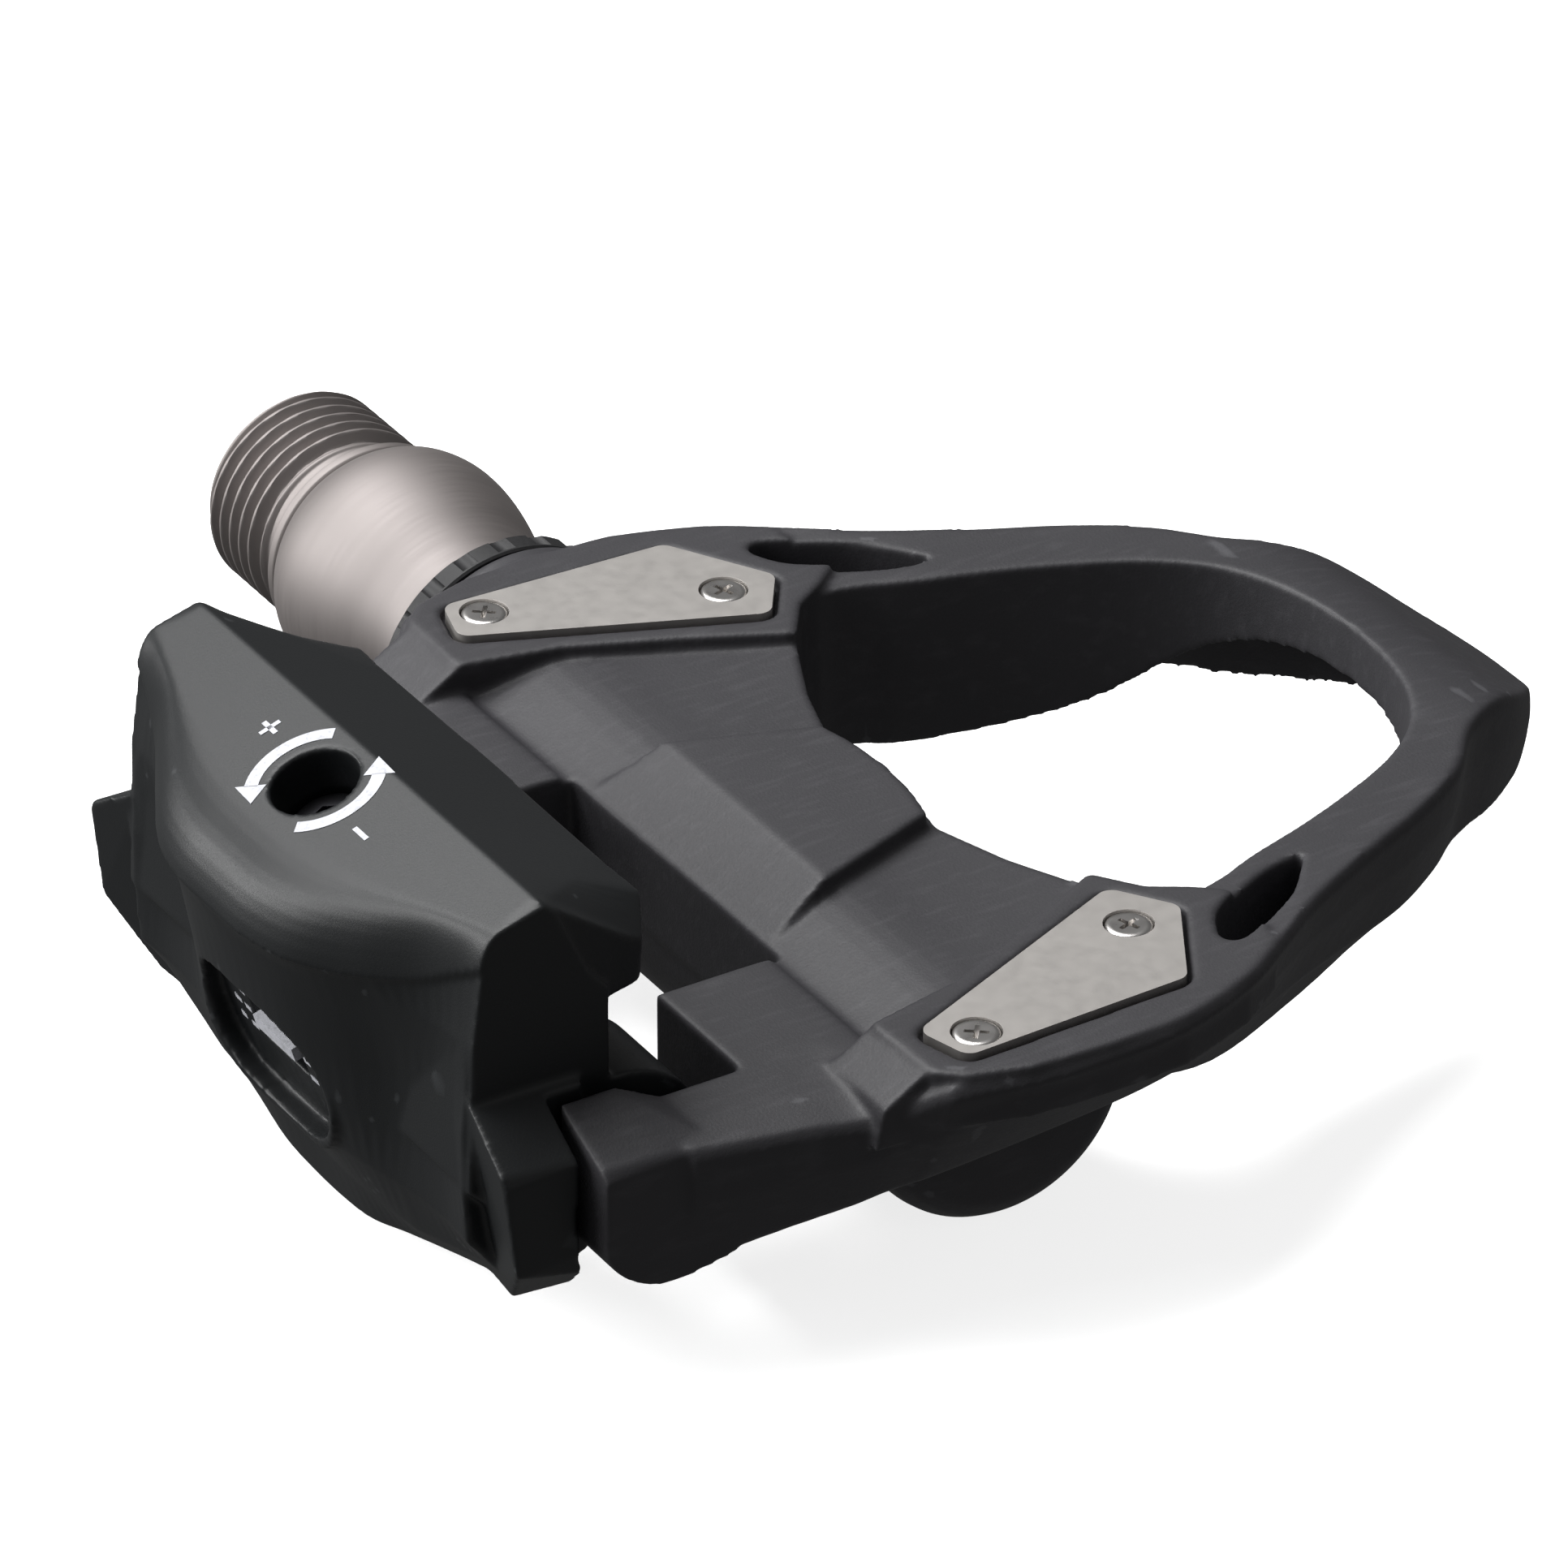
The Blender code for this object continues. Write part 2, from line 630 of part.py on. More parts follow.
def make_spindle(look):
    inner = [
        (-22.6, 0.0), (-22.6, 2.7), (-22.3, 2.95), (-17.5, 2.95), (-17.4, 3.7),
        (-13.0, 3.7), (-12.0, 4.6), (24.0, 4.6), (25.0, 3.7), (29.0, 3.7),
        (30.6, 5.3), (31.2, JOURNAL_R), (40.0, JOURNAL_R), (43.3, 7.0), (46.8, 8.1),
        (50.4, BELL_R), (52.6, 8.65), (54.2, 8.1), (55.0, 7.45), (55.15, 7.3),
        (55.3, FLANGE_R), (CRANK_SEAT_Y, FLANGE_R),
    ]
    centre = (0.0, 0.0, AXLE_Z)
    spindle = turned("spindle", inner + thread_profile(), centre)
    end = CRANK_SEAT_Y + THREAD_RELIEF + THREAD_CRESTS * THREAD_PITCH
    corner = HEX_SOCKET_AF / math.sqrt(3.0)
    socket = [
        (corner * math.cos(math.radians(60 * k)), AXLE_Z + corner * math.sin(math.radians(60 * k)))
        for k in range(6)
    ]
    cut(spindle, side_prism("socket", socket, end - HEX_SOCKET_DEPTH, end + 3.0))
    return finish(spindle, look)


def make_ball_ring(name, y, look):
    """Loose-ball bearing ring: the balls and the thin retainer that spaces them."""
    centre = Vector((0.0, y, AXLE_Z))
    ring = turned(name, tube(-0.3, 0.3, BALL_CIRCLE_R - 0.45, BALL_CIRCLE_R + 0.45), centre)
    for k in range(BALL_COUNT):
        angle = 2.0 * math.pi * k / BALL_COUNT
        ball = bmesh.new()
        bmesh.ops.create_icosphere(ball, subdivisions=2, radius=BALL_R * MM)
        mesh = bpy.data.meshes.new("ball")
        ball.to_mesh(mesh)
        ball.free()
        made = bpy.data.objects.new("ball", mesh)
        spot = centre + Vector((math.cos(angle), 0.0, math.sin(angle))) * BALL_CIRCLE_R
        made.location = (spot + FRAME_SHIFT) * MM
        bpy.context.collection.objects.link(made)
        join(ring, made)
    return finish(ring, look)


def make_axle_unit(steel, dark_steel, plastic, rubber):
    centre = (0.0, 0.0, AXLE_Z)
    sleeve = turned("bearing_sleeve", tube(-13.8, 26.0, 5.4, SLEEVE_R), centre)
    finish(sleeve, plastic)
    cup = (
        (26.3, 5.0), (26.3, SLEEVE_R), (30.7, SLEEVE_R), (30.7, 6.45), (28.3, 6.45),
        (27.3, 5.9),
    )
    finish(turned("bearing_cup_inboard", cup, centre), steel)
    cup = (
        (-18.4, 6.45), (-18.4, SLEEVE_R), (-14.1, SLEEVE_R), (-14.1, 5.0),
        (-15.1, 5.9), (-16.1, 6.45),
    )
    finish(turned("bearing_cup_outboard", cup, centre), steel)
    cone = (
        (-20.2, 3.1), (-20.2, 5.6), (-18.6, 5.6), (-17.75, 4.4), (-17.75, 3.1),
    )
    finish(turned("bearing_cone", cone, centre), dark_steel)
    nut = turned("lock_nut", disc(-22.4, -20.5, LOCK_NUT_R), centre, steps=6)
    cut(nut, turned("nut_bore", disc(-24.0, -18.0, LOCK_NUT_BORE_R), centre))
    finish(nut, dark_steel)
    make_ball_ring("ball_ring_inboard", BALLS_INBOARD_Y, steel)
    make_ball_ring("ball_ring_outboard", BALLS_OUTBOARD_Y, steel)
    lock = (
        (31.3, 6.9), (31.3, 7.9), (36.3, 7.9), (36.8, 8.1), (36.8, 8.9), (38.6, 8.9),
        (39.0, 8.5), (39.0, 7.75), (36.9, 7.75), (36.9, 6.9),
    )
    finish(turned("lock_bolt", lock, centre), plastic)
    seal = (
        (37.1, 6.75), (37.1, 7.6), (38.7, 7.6), (39.3, 7.2), (39.3, 6.75),
    )
    finish(turned("dust_seal", seal, centre), rubber)


# ---------------------------------------------------------------------- claw


def bolt_point(depth, forward=0.0, across=0.0):
    """A point in the tension bolt's own frame, in the design frame."""
    down = Vector((math.sin(BOLT_TILT), 0.0, -math.cos(BOLT_TILT)))
    ahead = Vector((math.cos(BOLT_TILT), 0.0, math.sin(BOLT_TILT)))
    return BOLT_TOP + down * depth + ahead * forward + Vector((0.0, across, 0.0))


def bolt_turned(name, profile, steps=24):
    """A turned solid on the tension bolt's axis; along is the depth below the hood."""
    solid = turned(name, [(-a, r) for a, r in profile], (0.0, 0.0, 0.0), "Z", steps)
    tilt = Matrix.Rotation(-BOLT_TILT, 4, "Y")
    solid.data.transform(tilt)
    solid.data.update()
    solid.location = (BOLT_TOP + FRAME_SHIFT) * MM
    return solid


def at_width(line, y):
    """The row of the line at one |y|, without its first number."""
    columns = list(zip(*line))
    return [between(abs(y), columns[0], column) for column in columns[1:]]


def hood_section(y):
    """The hood cut across at one Y: lip, front band, ridge, back slope and rounded rim."""
    top_x, crease_x, crease_z = at_width(RIM_LINE, y)
    front_x, front_z, band_x, band_z, under_x, under_z = at_width(LIP_LINE, y)
    top_z = RIDGE_Z + (top_x - RIDGE_X) * HOOD_SLOPE
    turn_x = crease_x + 0.4
    turn_z = max(crease_z + 0.5, RIDGE_Z + (turn_x - RIDGE_X) * HOOD_SLOPE)
    drop = 0.25 * max(0.0, abs(y) - 20.4)
    line = [(under_x, under_z), (front_x, front_z), (band_x, band_z), (RIDGE_X, RIDGE_Z - drop)]
    for step in range(RIM_STEPS + 1):
        t = step / RIM_STEPS
        near = (1.0 - t) ** 2
        middle = 2.0 * t * (1.0 - t)
        x = near * top_x + middle * turn_x + t * t * crease_x
        z = near * top_z + middle * turn_z + t * t * crease_z
        line.append((x, z))
    line += [(crease_x + 1.6, crease_z - 0.8), (-31.0, 4.0)]
    return [(x, y, z) for x, z in line]


def hood():
    spots = [-y for y in reversed(HOOD_SPOTS[1:])] + list(HOOD_SPOTS)
    return loft("claw", [hood_section(y) for y in spots], (PIN_X, 0.0, PIN_Z))


def back_wall():
    """The wall below the hood, bulging at its middle down to a rounded foot."""
    ribs = [(-rib[0],) + rib[1:] for rib in reversed(BACK_RIBS[1:])] + list(BACK_RIBS)
    sections = []
    for rib in ribs:
        foot = rib[7]
        low_x = rib[6]
        crease_x, crease_z = at_width(RIM_LINE, rib[0])[1:]
        line = [(-30.6, 9.4), (crease_x + 1.8, crease_z + 0.2), (crease_x + 0.3, crease_z - 0.05)]
        line += list(zip(rib[1:6], BACK_LEVELS))
        line += [(low_x, max(-14.0, foot + 2.2)), (low_x + 1.1, foot + 0.8), (low_x + 2.4, foot)]
        line += [(-30.4, foot + 0.2), (-28.6, foot + 1.6), (-27.6, -11.0), (-28.0, 2.0)]
        sections.append([(x, rib[0], z) for x, z in line])
    return loft("back_wall", sections)


def wall_x(y, z):
    """Where the back wall's surface lies."""
    levels = BACK_LEVELS[::-1]
    along = [between(z, levels, rib[1:7][::-1]) for rib in BACK_RIBS]
    return between(abs(y), [rib[0] for rib in BACK_RIBS], along)


def claw_outer():
    claw = hood()
    join(claw, back_wall())
    for side in (1, -1):
        low, high = sorted((side * (CHEEK_INNER_Y - 1.0), side * CHEEK_OUTER_Y))
        cheek = [(-35.7, 9.1), (-36.4, 4.0), (-36.8, -6.0), (-31.0, -12.0)]
        cheek += arc((PIN_X, PIN_Z), CLAW_BOSS_R, -110, 96, 14)
        cheek += [(CHEEK_FRONT_X, 5.5), (-31.0, 9.5)]
        join(claw, side_prism("cheek", cheek, low, high))
        lug = []
        for x, y, z in (
            (-36.6, 19.6, 1.2), (-37.1, 25.6, -2.4), (-36.9, LUG_Y, -3.2), (-36.3, LUG_Y, -9.6),
            (-34.4, 22.0, -13.8), (-33.4, 17.0, -14.6), (-28.5, 25.6, -11.6),
            (-29.0, LUG_Y, -9.0), (-29.4, LUG_Y, -2.8), (-29.2, 20.2, 0.8),
            (-29.0, 18.0, -12.6), (-30.0, 18.0, 0.8),
        ):
            lug.append((x, side * y, z))
        join(claw, hull("lug", lug))
    return claw


def claw_hollow(claw):
    """Inside of the claw, and the room for the body's arms."""
    hollow = []
    for y, squeeze in CAVITY_SQUEEZE:
        hollow.append([(x + squeeze if x < -30.5 else x, y, z) for x, z in CAVITY])
    cut(claw, loft("hollow", hollow))
    room = (
        (-10.0, 3.5), (LUG_FRONT_X, 3.5), (LUG_FRONT_X, -9.6), (-30.8, -14.6),
        (-29.0, -20.0), (-10.0, -20.0),
    )
    for side in (1, -1):
        low, high = sorted((side * ARM_ROOM_Y, side * 32.0))
        cut(claw, turned("arm_room", disc(low, high, LUG_GAP_R), (PIN_X, 0.0, PIN_Z)))
        cut(claw, side_prism("arm_side", room, low, high))


def scale_window(claw):
    """Oval recess in the back wall, lipped below, with a slot where the pointer shows."""
    rim = oval(WINDOW_HALF_Y + 0.7, WINDOW_HALF_Z + 0.7, WINDOW_Z)
    boss = []
    for y, z in rim:
        proud = WINDOW_LIP * min(1.0, max(-0.6, (WINDOW_Z + 1.5 - z) / 3.0))
        boss.append((wall_x(y, z) - proud, y, z))
    root = [(wall_x(y, z) + 1.0, y, z) for y, z in rim]
    join(claw, loft("window_lip", [root, boss]))
    inner = oval(WINDOW_HALF_Y, WINDOW_HALF_Z, WINDOW_Z)
    deep = [(wall_x(y, z) + WINDOW_DEPTH, y, z) for y, z in inner]
    front = [(wall_x(y, z) - 3.0, y, z) for y, z in inner]
    cut(claw, loft("recess", [deep, front]))
    slot = rounded(SLOT, 0.5)
    cut(claw, loft("slot", [[(x, y, z) for y, z in slot] for x in (-46.0, -33.0)]))


def make_claw(look):
    claw = claw_outer()
    claw_hollow(claw)
    join(claw, bolt_turned("boss", disc(1.2, 7.6, BOSS_R)))
    seat = (
        (-3.0, 0.0), (-3.0, BOLT_HOLE_R), (5.7, BOLT_HOLE_R), (5.7, BOLT_SHANK_R + 0.2),
        (9.5, BOLT_SHANK_R + 0.2), (9.5, 0.0),
    )
    cut(claw, bolt_turned("bolt_seat", seat))
    scale_window(claw)
    way = disc(-30.0, 30.0, PIN_HOLE_R + 0.02)
    cut(claw, turned("pin_way", way, (PIN_X, 0.0, PIN_Z), steps=24))
    return finish(claw, look)


def make_bolt(look):
    profile = (
        (3.0, 0.0), (3.0, BOLT_HEAD_R - 0.2), (3.2, BOLT_HEAD_R), (5.4, BOLT_HEAD_R),
        (5.4, BOLT_SHANK_R), (15.9, BOLT_SHANK_R), (16.3, BOLT_SHANK_R - 0.3), (16.3, 0.0),
    )
    bolt = bolt_turned("tension_bolt", profile)
    corner = BOLT_KEY_AF / math.sqrt(3.0)
    low = []
    high = []
    for k in range(6):
        ahead = corner * math.cos(math.radians(60 * k))
        across = corner * math.sin(math.radians(60 * k))
        low.append(bolt_point(4.8, ahead, across))
        high.append(bolt_point(1.0, ahead, across))
    cut(bolt, loft("key", [low, high]))
    return finish(bolt, look)


def make_nut(look):
    """Tension nut with the pointer that shows in the claw's rear window."""
    corners = []
    for depth in (9.2, 12.8):
        for ahead in (-3.4, 3.2):
            corners += [bolt_point(depth, ahead, across) for across in (-4.6, 4.6)]
    nut = hull("tension_nut", corners, bolt_point(11.0))
    bridge = []
    leaf = []
    for across in (-LEAF_HALF_Y, LEAF_HALF_Y):
        for depth in (LEAF_DEPTH[0], 12.0):
            bridge += [bolt_point(depth, LEAF_AHEAD[0], across), bolt_point(depth, -3.0, across)]
        for depth in LEAF_DEPTH:
            leaf += [bolt_point(depth, ahead, across) for ahead in LEAF_AHEAD]
    join(nut, hull("bridge", bridge), hull("leaf", leaf))
    cut(nut, bolt_turned("nut_hole", disc(7.0, 16.0, BOLT_SHANK_R + 0.12)))
    return finish(nut, look)


def make_spring_plate(look):
    """Steel bar under the nut that both springs push against."""
    corners = []
    for depth in (13.1, 14.3):
        for ahead in (-2.9, 2.9):
            corners += [bolt_point(depth, ahead, across) for across in (-12.2, 12.2)]
    plate = hull("spring_plate", corners, bolt_point(13.7))
    cut(plate, bolt_turned("plate_hole", disc(11.0, 16.5, BOLT_SHANK_R + 0.2)))
    return finish(plate, look)


def make_spring(name, side, look):
    """Torsion spring: a coil on the pin, one leg forward to the body, one back."""
    path = [(SPRING_LEG_X, SPRING_OUTER_Y, PIN_Z - SPRING_COIL_R)]
    turns = int(SPRING_TURNS * 12)
    for i in range(turns + 1):
        angle = math.radians(-90.0 - 30.0 * i)
        y = SPRING_OUTER_Y + (SPRING_INNER_Y - SPRING_OUTER_Y) * i / turns
        path.append(
            (
                PIN_X + SPRING_COIL_R * math.cos(angle), y,
                PIN_Z + SPRING_COIL_R * math.sin(angle),
            )
        )
    path.append((SPRING_TAIL_X, SPRING_INNER_Y, PIN_Z + SPRING_COIL_R))
    path = [Vector((x, side * y, z)) for x, y, z in path]
    rows = []
    for i, point in enumerate(path):
        before = path[max(i - 1, 0)]
        after = path[min(i + 1, len(path) - 1)]
        along = (after - before).normalized()
        sideways = Vector((0.0, 1.0, 0.0)).cross(along).normalized()
        upward = along.cross(sideways)
        rows.append(
            [
                point
                + (sideways * math.cos(math.pi * k / 3) + upward * math.sin(math.pi * k / 3))
                * SPRING_WIRE_R
                for k in range(6)
            ]
        )
    return finish(loft(name, rows, (PIN_X, 0.0, PIN_Z)), look)


def make_pin(look):
    half = PIN_HALF
    profile = (
        (-half, 0.0), (-half, PIN_R - 0.3), (-half + 0.3, PIN_R), (half - 0.3, PIN_R),
        (half, PIN_R - 0.3), (half, 0.0),
    )
    return finish(turned("pivot_pin", profile, (PIN_X, 0.0, PIN_Z), steps=24), look)


def main():
    clear_scene()
    charcoal = material("body_composite", (0.055, 0.055, 0.065), 0.55)
    hood = material("claw_plastic", (0.045, 0.052, 0.060), 0.42)
    satin = material("satin_steel", (0.60, 0.56, 0.53), 0.34, 1.0)
    plate = material("plate_steel", (0.62, 0.60, 0.57), 0.38, 1.0)
    screw = material("screw_steel", (0.72, 0.69, 0.67), 0.25, 1.0)
    bearing = material("bearing_steel", (0.70, 0.70, 0.71), 0.18, 1.0)
    dark = material("dark_steel", (0.20, 0.20, 0.21), 0.35, 1.0)
    sleeve = material("sleeve_plastic", (0.03, 0.03, 0.033), 0.5)
    rubber = material("seal_rubber", (0.02, 0.02, 0.02), 0.7)
    spring = material("spring_steel", (0.35, 0.35, 0.36), 0.3, 1.0)

    make_body(charcoal)
    for name, side in (("inboard", 1), ("outboard", -1)):
        make_plate(f"cover_plate_{name}", side, plate)
        for place, (x, y) in zip(("front", "rear"), SCREWS):
            make_screw(f"plate_screw_{name}_{place}", x, side * y, screw)
    make_spindle(satin)
    make_axle_unit(bearing, dark, sleeve, rubber)
    make_claw(hood)
    make_bolt(dark)
    make_nut(sleeve)
    make_spring_plate(dark)
    make_spring("torsion_spring_left", 1, spring)
    make_spring("torsion_spring_right", -1, spring)
    make_pin(bearing)


main()
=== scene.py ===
"""A road clipless pedal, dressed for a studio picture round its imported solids.

The pieces are drawn in millimetres in the maker's frame: X forward to the nose,
Y inboard to the crank, Z up, with the spindle's axis at X = 0, the platform's
middle at Y = 0 and the top of its steel plates at Z = 0.
"""

import math

import bmesh
import bpy
import numpy as np
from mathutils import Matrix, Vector


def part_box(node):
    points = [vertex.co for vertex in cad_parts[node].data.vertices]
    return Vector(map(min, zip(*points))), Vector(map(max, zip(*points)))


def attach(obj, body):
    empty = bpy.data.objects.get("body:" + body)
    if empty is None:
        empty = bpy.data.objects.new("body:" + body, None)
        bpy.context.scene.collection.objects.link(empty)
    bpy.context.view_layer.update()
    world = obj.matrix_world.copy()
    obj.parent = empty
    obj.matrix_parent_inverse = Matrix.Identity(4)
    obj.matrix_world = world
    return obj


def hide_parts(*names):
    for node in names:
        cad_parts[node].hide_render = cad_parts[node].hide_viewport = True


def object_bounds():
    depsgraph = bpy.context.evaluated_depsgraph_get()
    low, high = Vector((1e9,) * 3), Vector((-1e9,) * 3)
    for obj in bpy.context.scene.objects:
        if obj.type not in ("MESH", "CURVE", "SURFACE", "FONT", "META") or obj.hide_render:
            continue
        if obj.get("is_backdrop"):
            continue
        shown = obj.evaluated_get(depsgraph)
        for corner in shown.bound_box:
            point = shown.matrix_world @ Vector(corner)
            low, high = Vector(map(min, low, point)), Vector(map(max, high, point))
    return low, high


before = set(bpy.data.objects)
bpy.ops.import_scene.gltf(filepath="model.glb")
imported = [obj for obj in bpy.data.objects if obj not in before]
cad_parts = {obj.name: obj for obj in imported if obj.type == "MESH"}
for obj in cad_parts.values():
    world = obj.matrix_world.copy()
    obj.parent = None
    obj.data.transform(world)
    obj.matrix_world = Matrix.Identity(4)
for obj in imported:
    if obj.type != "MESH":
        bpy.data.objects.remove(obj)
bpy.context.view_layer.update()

MM = 0.001
AHEAD = Vector((1.0, 0.0, 0.0))
INBOARD = Vector((0.0, 1.0, 0.0))
UP = Vector((0.0, 0.0, 1.0))
# Points nearer than this, in millimetres, are joined
WELD = 0.001
MOST_TRIANGLES = 178000


def maker_origin():
    """Where the maker's frame has its origin, in the row's frame, in millimetres."""
    low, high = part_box("spindle")
    plate_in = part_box("cover_plate_inboard")
    plate_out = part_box("cover_plate_outboard")
    x = (low.x + high.x) / 2.0
    y = (plate_in[1].y + plate_out[0].y) / 2.0
    return Vector((x, y, plate_in[1].z)) / MM


SHIFT = maker_origin()


# ------------------------------------------------------------------ meshes


def tidy(mesh):
    """Joins points that coincide and turns every face outward."""
    shell = bmesh.new()
    shell.from_mesh(mesh)
    bmesh.ops.remove_doubles(shell, verts=shell.verts, dist=WELD * MM)
    bmesh.ops.dissolve_degenerate(shell, edges=shell.edges, dist=WELD * MM)
    bmesh.ops.triangulate(shell, faces=shell.faces)
    bmesh.ops.recalc_face_normals(shell, faces=shell.faces)
    shell.to_mesh(mesh)
    shell.free()


def shown(name, mesh):
    """An object of that mesh, in the scene."""
    made = bpy.data.objects.new(name, mesh)
    bpy.context.scene.collection.objects.link(made)
    return made


def solid(name, points, faces):
    mesh = bpy.data.meshes.new(name)
    mesh.from_pydata([(Vector(p) + SHIFT) * MM for p in points], [], faces)
    tidy(mesh)
    return shown(name, mesh)


def hull(name, points):
    """The convex solid round the given points."""
    shell = bmesh.new()
    for point in points:
        shell.verts.new((Vector(point) + SHIFT) * MM)
    wrapped = bmesh.ops.convex_hull(shell, input=shell.verts)
    loose = [v for v in wrapped["geom_interior"] if isinstance(v, bmesh.types.BMVert)]
    loose += [v for v in wrapped["geom_unused"] if isinstance(v, bmesh.types.BMVert)]
    bmesh.ops.delete(shell, geom=list(set(loose)), context="VERTS")
    mesh = bpy.data.meshes.new(name)
    shell.to_mesh(mesh)
    shell.free()
    tidy(mesh)
    return shown(name, mesh)


def loft(name, sections):
    """A solid through closed sections that all have the same number of points."""
    count = len(sections[0])
    points = [p for section in sections for p in section]
    faces = [tuple(range(count - 1, -1, -1))]
    for row in range(len(sections) - 1):
        low = row * count
        high = low + count
        for i in range(count):
            j = (i + 1) % count
            faces.append((low + i, low + j, high + j, high + i))
    last = (len(sections) - 1) * count
    faces.append(tuple(range(last, last + count)))
    return solid(name, points, faces)


def prism(name, outline, low, high):
    """An outline in the X-Y plane pulled along Z."""
    return loft(name, [[(x, y, z) for x, y in outline] for z in (low, high)])


def side_prism(name, outline, low, high):
    """An outline in the X-Z plane pulled along Y."""
    return loft(name, [[(x, y, z) for x, z in outline] for y in (low, high)])


def turned(name, profile, centre, steps=96):
    """A closed profile of (along, radius) turned round a line along Y."""
    return turned_about(name, profile, centre, INBOARD, AHEAD, steps)


def turned_about(name, profile, centre, along, across, steps=96):
    """A closed profile of (distance along, radius) turned round any line.

    A radius of 0 lies on the line itself.
    """
    base = Vector(centre)
    third = along.cross(across)
    points = []
    rows = []
    for distance, radius in profile:
        row = []
        for step in range(steps):
            if radius == 0.0 and step:
                row.append(row[0])
                continue
            angle = 2.0 * math.pi * step / steps
            ray = across * math.cos(angle) + third * math.sin(angle)
            row.append(len(points))
            points.append(base + along * distance + ray * radius)
        rows.append(row)
    faces = []
    for k, here in enumerate(rows):
        there = rows[(k + 1) % len(rows)]
        for step in range(steps):
            after = (step + 1) % steps
            ring = (here[step], here[after], there[after], there[step])
            face = tuple(dict.fromkeys(ring))
            if len(face) > 2:
                faces.append(face)
    return solid(name, points, faces)


def disc(low, high, radius):
    """Profile of a plain cylinder for turned()."""
    return ((low, 0.0), (low, radius), (high, radius), (high, 0.0))


def arc(centre, radius, start, end, steps):
    """Points of a circle's arc, with the angles in degrees."""
    found = []
    for i in range(steps + 1):
        angle = math.radians(start + (end - start) * i / steps)
        found.append((centre[0] + radius * math.cos(angle), centre[1] + radius * math.sin(angle)))
    return found


def rounded(outline, radius, steps=6):
    """The outline with each corner replaced by an arc."""
    found = []
    count = len(outline)
    for i in range(count):
        corner = Vector(outline[i])
        to_before = (Vector(outline[i - 1]) - corner).normalized()
        to_after = (Vector(outline[(i + 1) % count]) - corner).normalized()
        half = to_before.angle(to_after) / 2.0
        reach = radius / math.tan(half)
        start = corner + to_before * reach
        end = corner + to_after * reach
        centre = corner + (to_before + to_after).normalized() * (radius / math.sin(half))
        for step in range(steps + 1):
            blend = start.lerp(end, step / steps)
            found.append(tuple(centre + (blend - centre).normalized() * radius))
    return found


def grown(outline, distance):
    """The outline moved outward along its corners' bisectors."""
    found = []
    count = len(outline)
    area = sum(
        outline[i - 1][0] * outline[i][1] - outline[i][0] * outline[i - 1][1]
        for i in range(count)
    )
    turn = 1.0 if area > 0 else -1.0
    for i in range(count):
        before = Vector(outline[i]) - Vector(outline[i - 1])
        after = Vector(outline[(i + 1) % count]) - Vector(outline[i])
        normal = Vector((before.y, -before.x)).normalized()
        edge = Vector((after.y, -after.x)).normalized()
        normal = (normal + edge).normalized()
        reach = distance / max(0.5, normal.dot(edge))
        found.append(tuple(Vector(outline[i]) + normal * reach * turn))
    return found


def curved(points, per_span):
    """A smooth open line through the given rows of numbers."""
    rows = [np.array(p, float) for p in points]
    ends = [2 * rows[0] - rows[1]] + rows + [2 * rows[-1] - rows[-2]]
    found = []
    for i in range(1, len(ends) - 2):
        before, start, end, after = ends[i - 1 : i + 3]
        for step in range(per_span):
            t = step / per_span
            bend = 2 * before - 5 * start + 4 * end - after
            twist = -before + 3 * start - 3 * end + after
            found.append(0.5 * (2 * start + (end - before) * t + bend * t**2 + twist * t**3))
    found.append(rows[-1])
    return [tuple(float(v) for v in row) for row in found]


def combine(target, other, operation):
    """Applies one exact Boolean to the target and removes the other object."""
    step = target.modifiers.new(operation, "BOOLEAN")
    step.operation = operation
    step.object = other
    step.solver = "EXACT"
    bake(target)
    tidy(target.data)
    bpy.data.objects.remove(other, do_unlink=True)


def bake(target):
    """Makes the target's modifiers part of its mesh."""
    graph = bpy.context.evaluated_depsgraph_get()
    result = bpy.data.meshes.new_from_object(target.evaluated_get(graph))
    target.modifiers.clear()
    target.data = result


def join(target, *others):
    for other in others:
        combine(target, other, "UNION")


def cut(target, *others):
    for other in others:
        combine(target, other, "DIFFERENCE")


def moulded(target, voxel, rounds, most_faces):
    """Gives the target the small even fillets of a moulded part."""
    step = target.modifiers.new("skin", "REMESH")
    step.mode = "VOXEL"
    step.voxel_size = voxel * MM
    step.use_smooth_shade = True
    ease = target.modifiers.new("ease", "SMOOTH")
    ease.factor = 0.5
    ease.iterations = rounds
    bake(target)
    triangles = 2 * len(target.data.polygons)
    if triangles > most_faces:
        thin = target.modifiers.new("thin", "DECIMATE")
        thin.ratio = most_faces / triangles
        bake(target)
    shade_smooth(target.data)


def shade_smooth(mesh):
    mesh.polygons.foreach_set("use_smooth", [True] * len(mesh.polygons))


def soft_edges(target, width, angle=30.0, segments=3):
    """Rounds the target's sharp edges a little, and keeps its flats flat."""
    mesh = target.data
    flats = bmesh.new()
    flats.from_mesh(mesh)
    bmesh.ops.dissolve_limit(
        flats, angle_limit=math.radians(1.0), verts=flats.verts, edges=flats.edges
    )
    flats.to_mesh(mesh)
    flats.free()
    shade_smooth(mesh)
    step = target.modifiers.new("edge", "BEVEL")
    step.width = width * MM
    step.segments = segments
    step.limit_method = "ANGLE"
    step.angle_limit = math.radians(angle)
    step.harden_normals = True
    target.modifiers.new("even", "WEIGHTED_NORMAL")
    bake(target)


def smooth_by_angle(target, angle):
    """Smooth shading that keeps edges sharper than the angle."""
    shade_smooth(target.data)
    target.data.set_sharp_from_angle(angle=math.radians(angle))


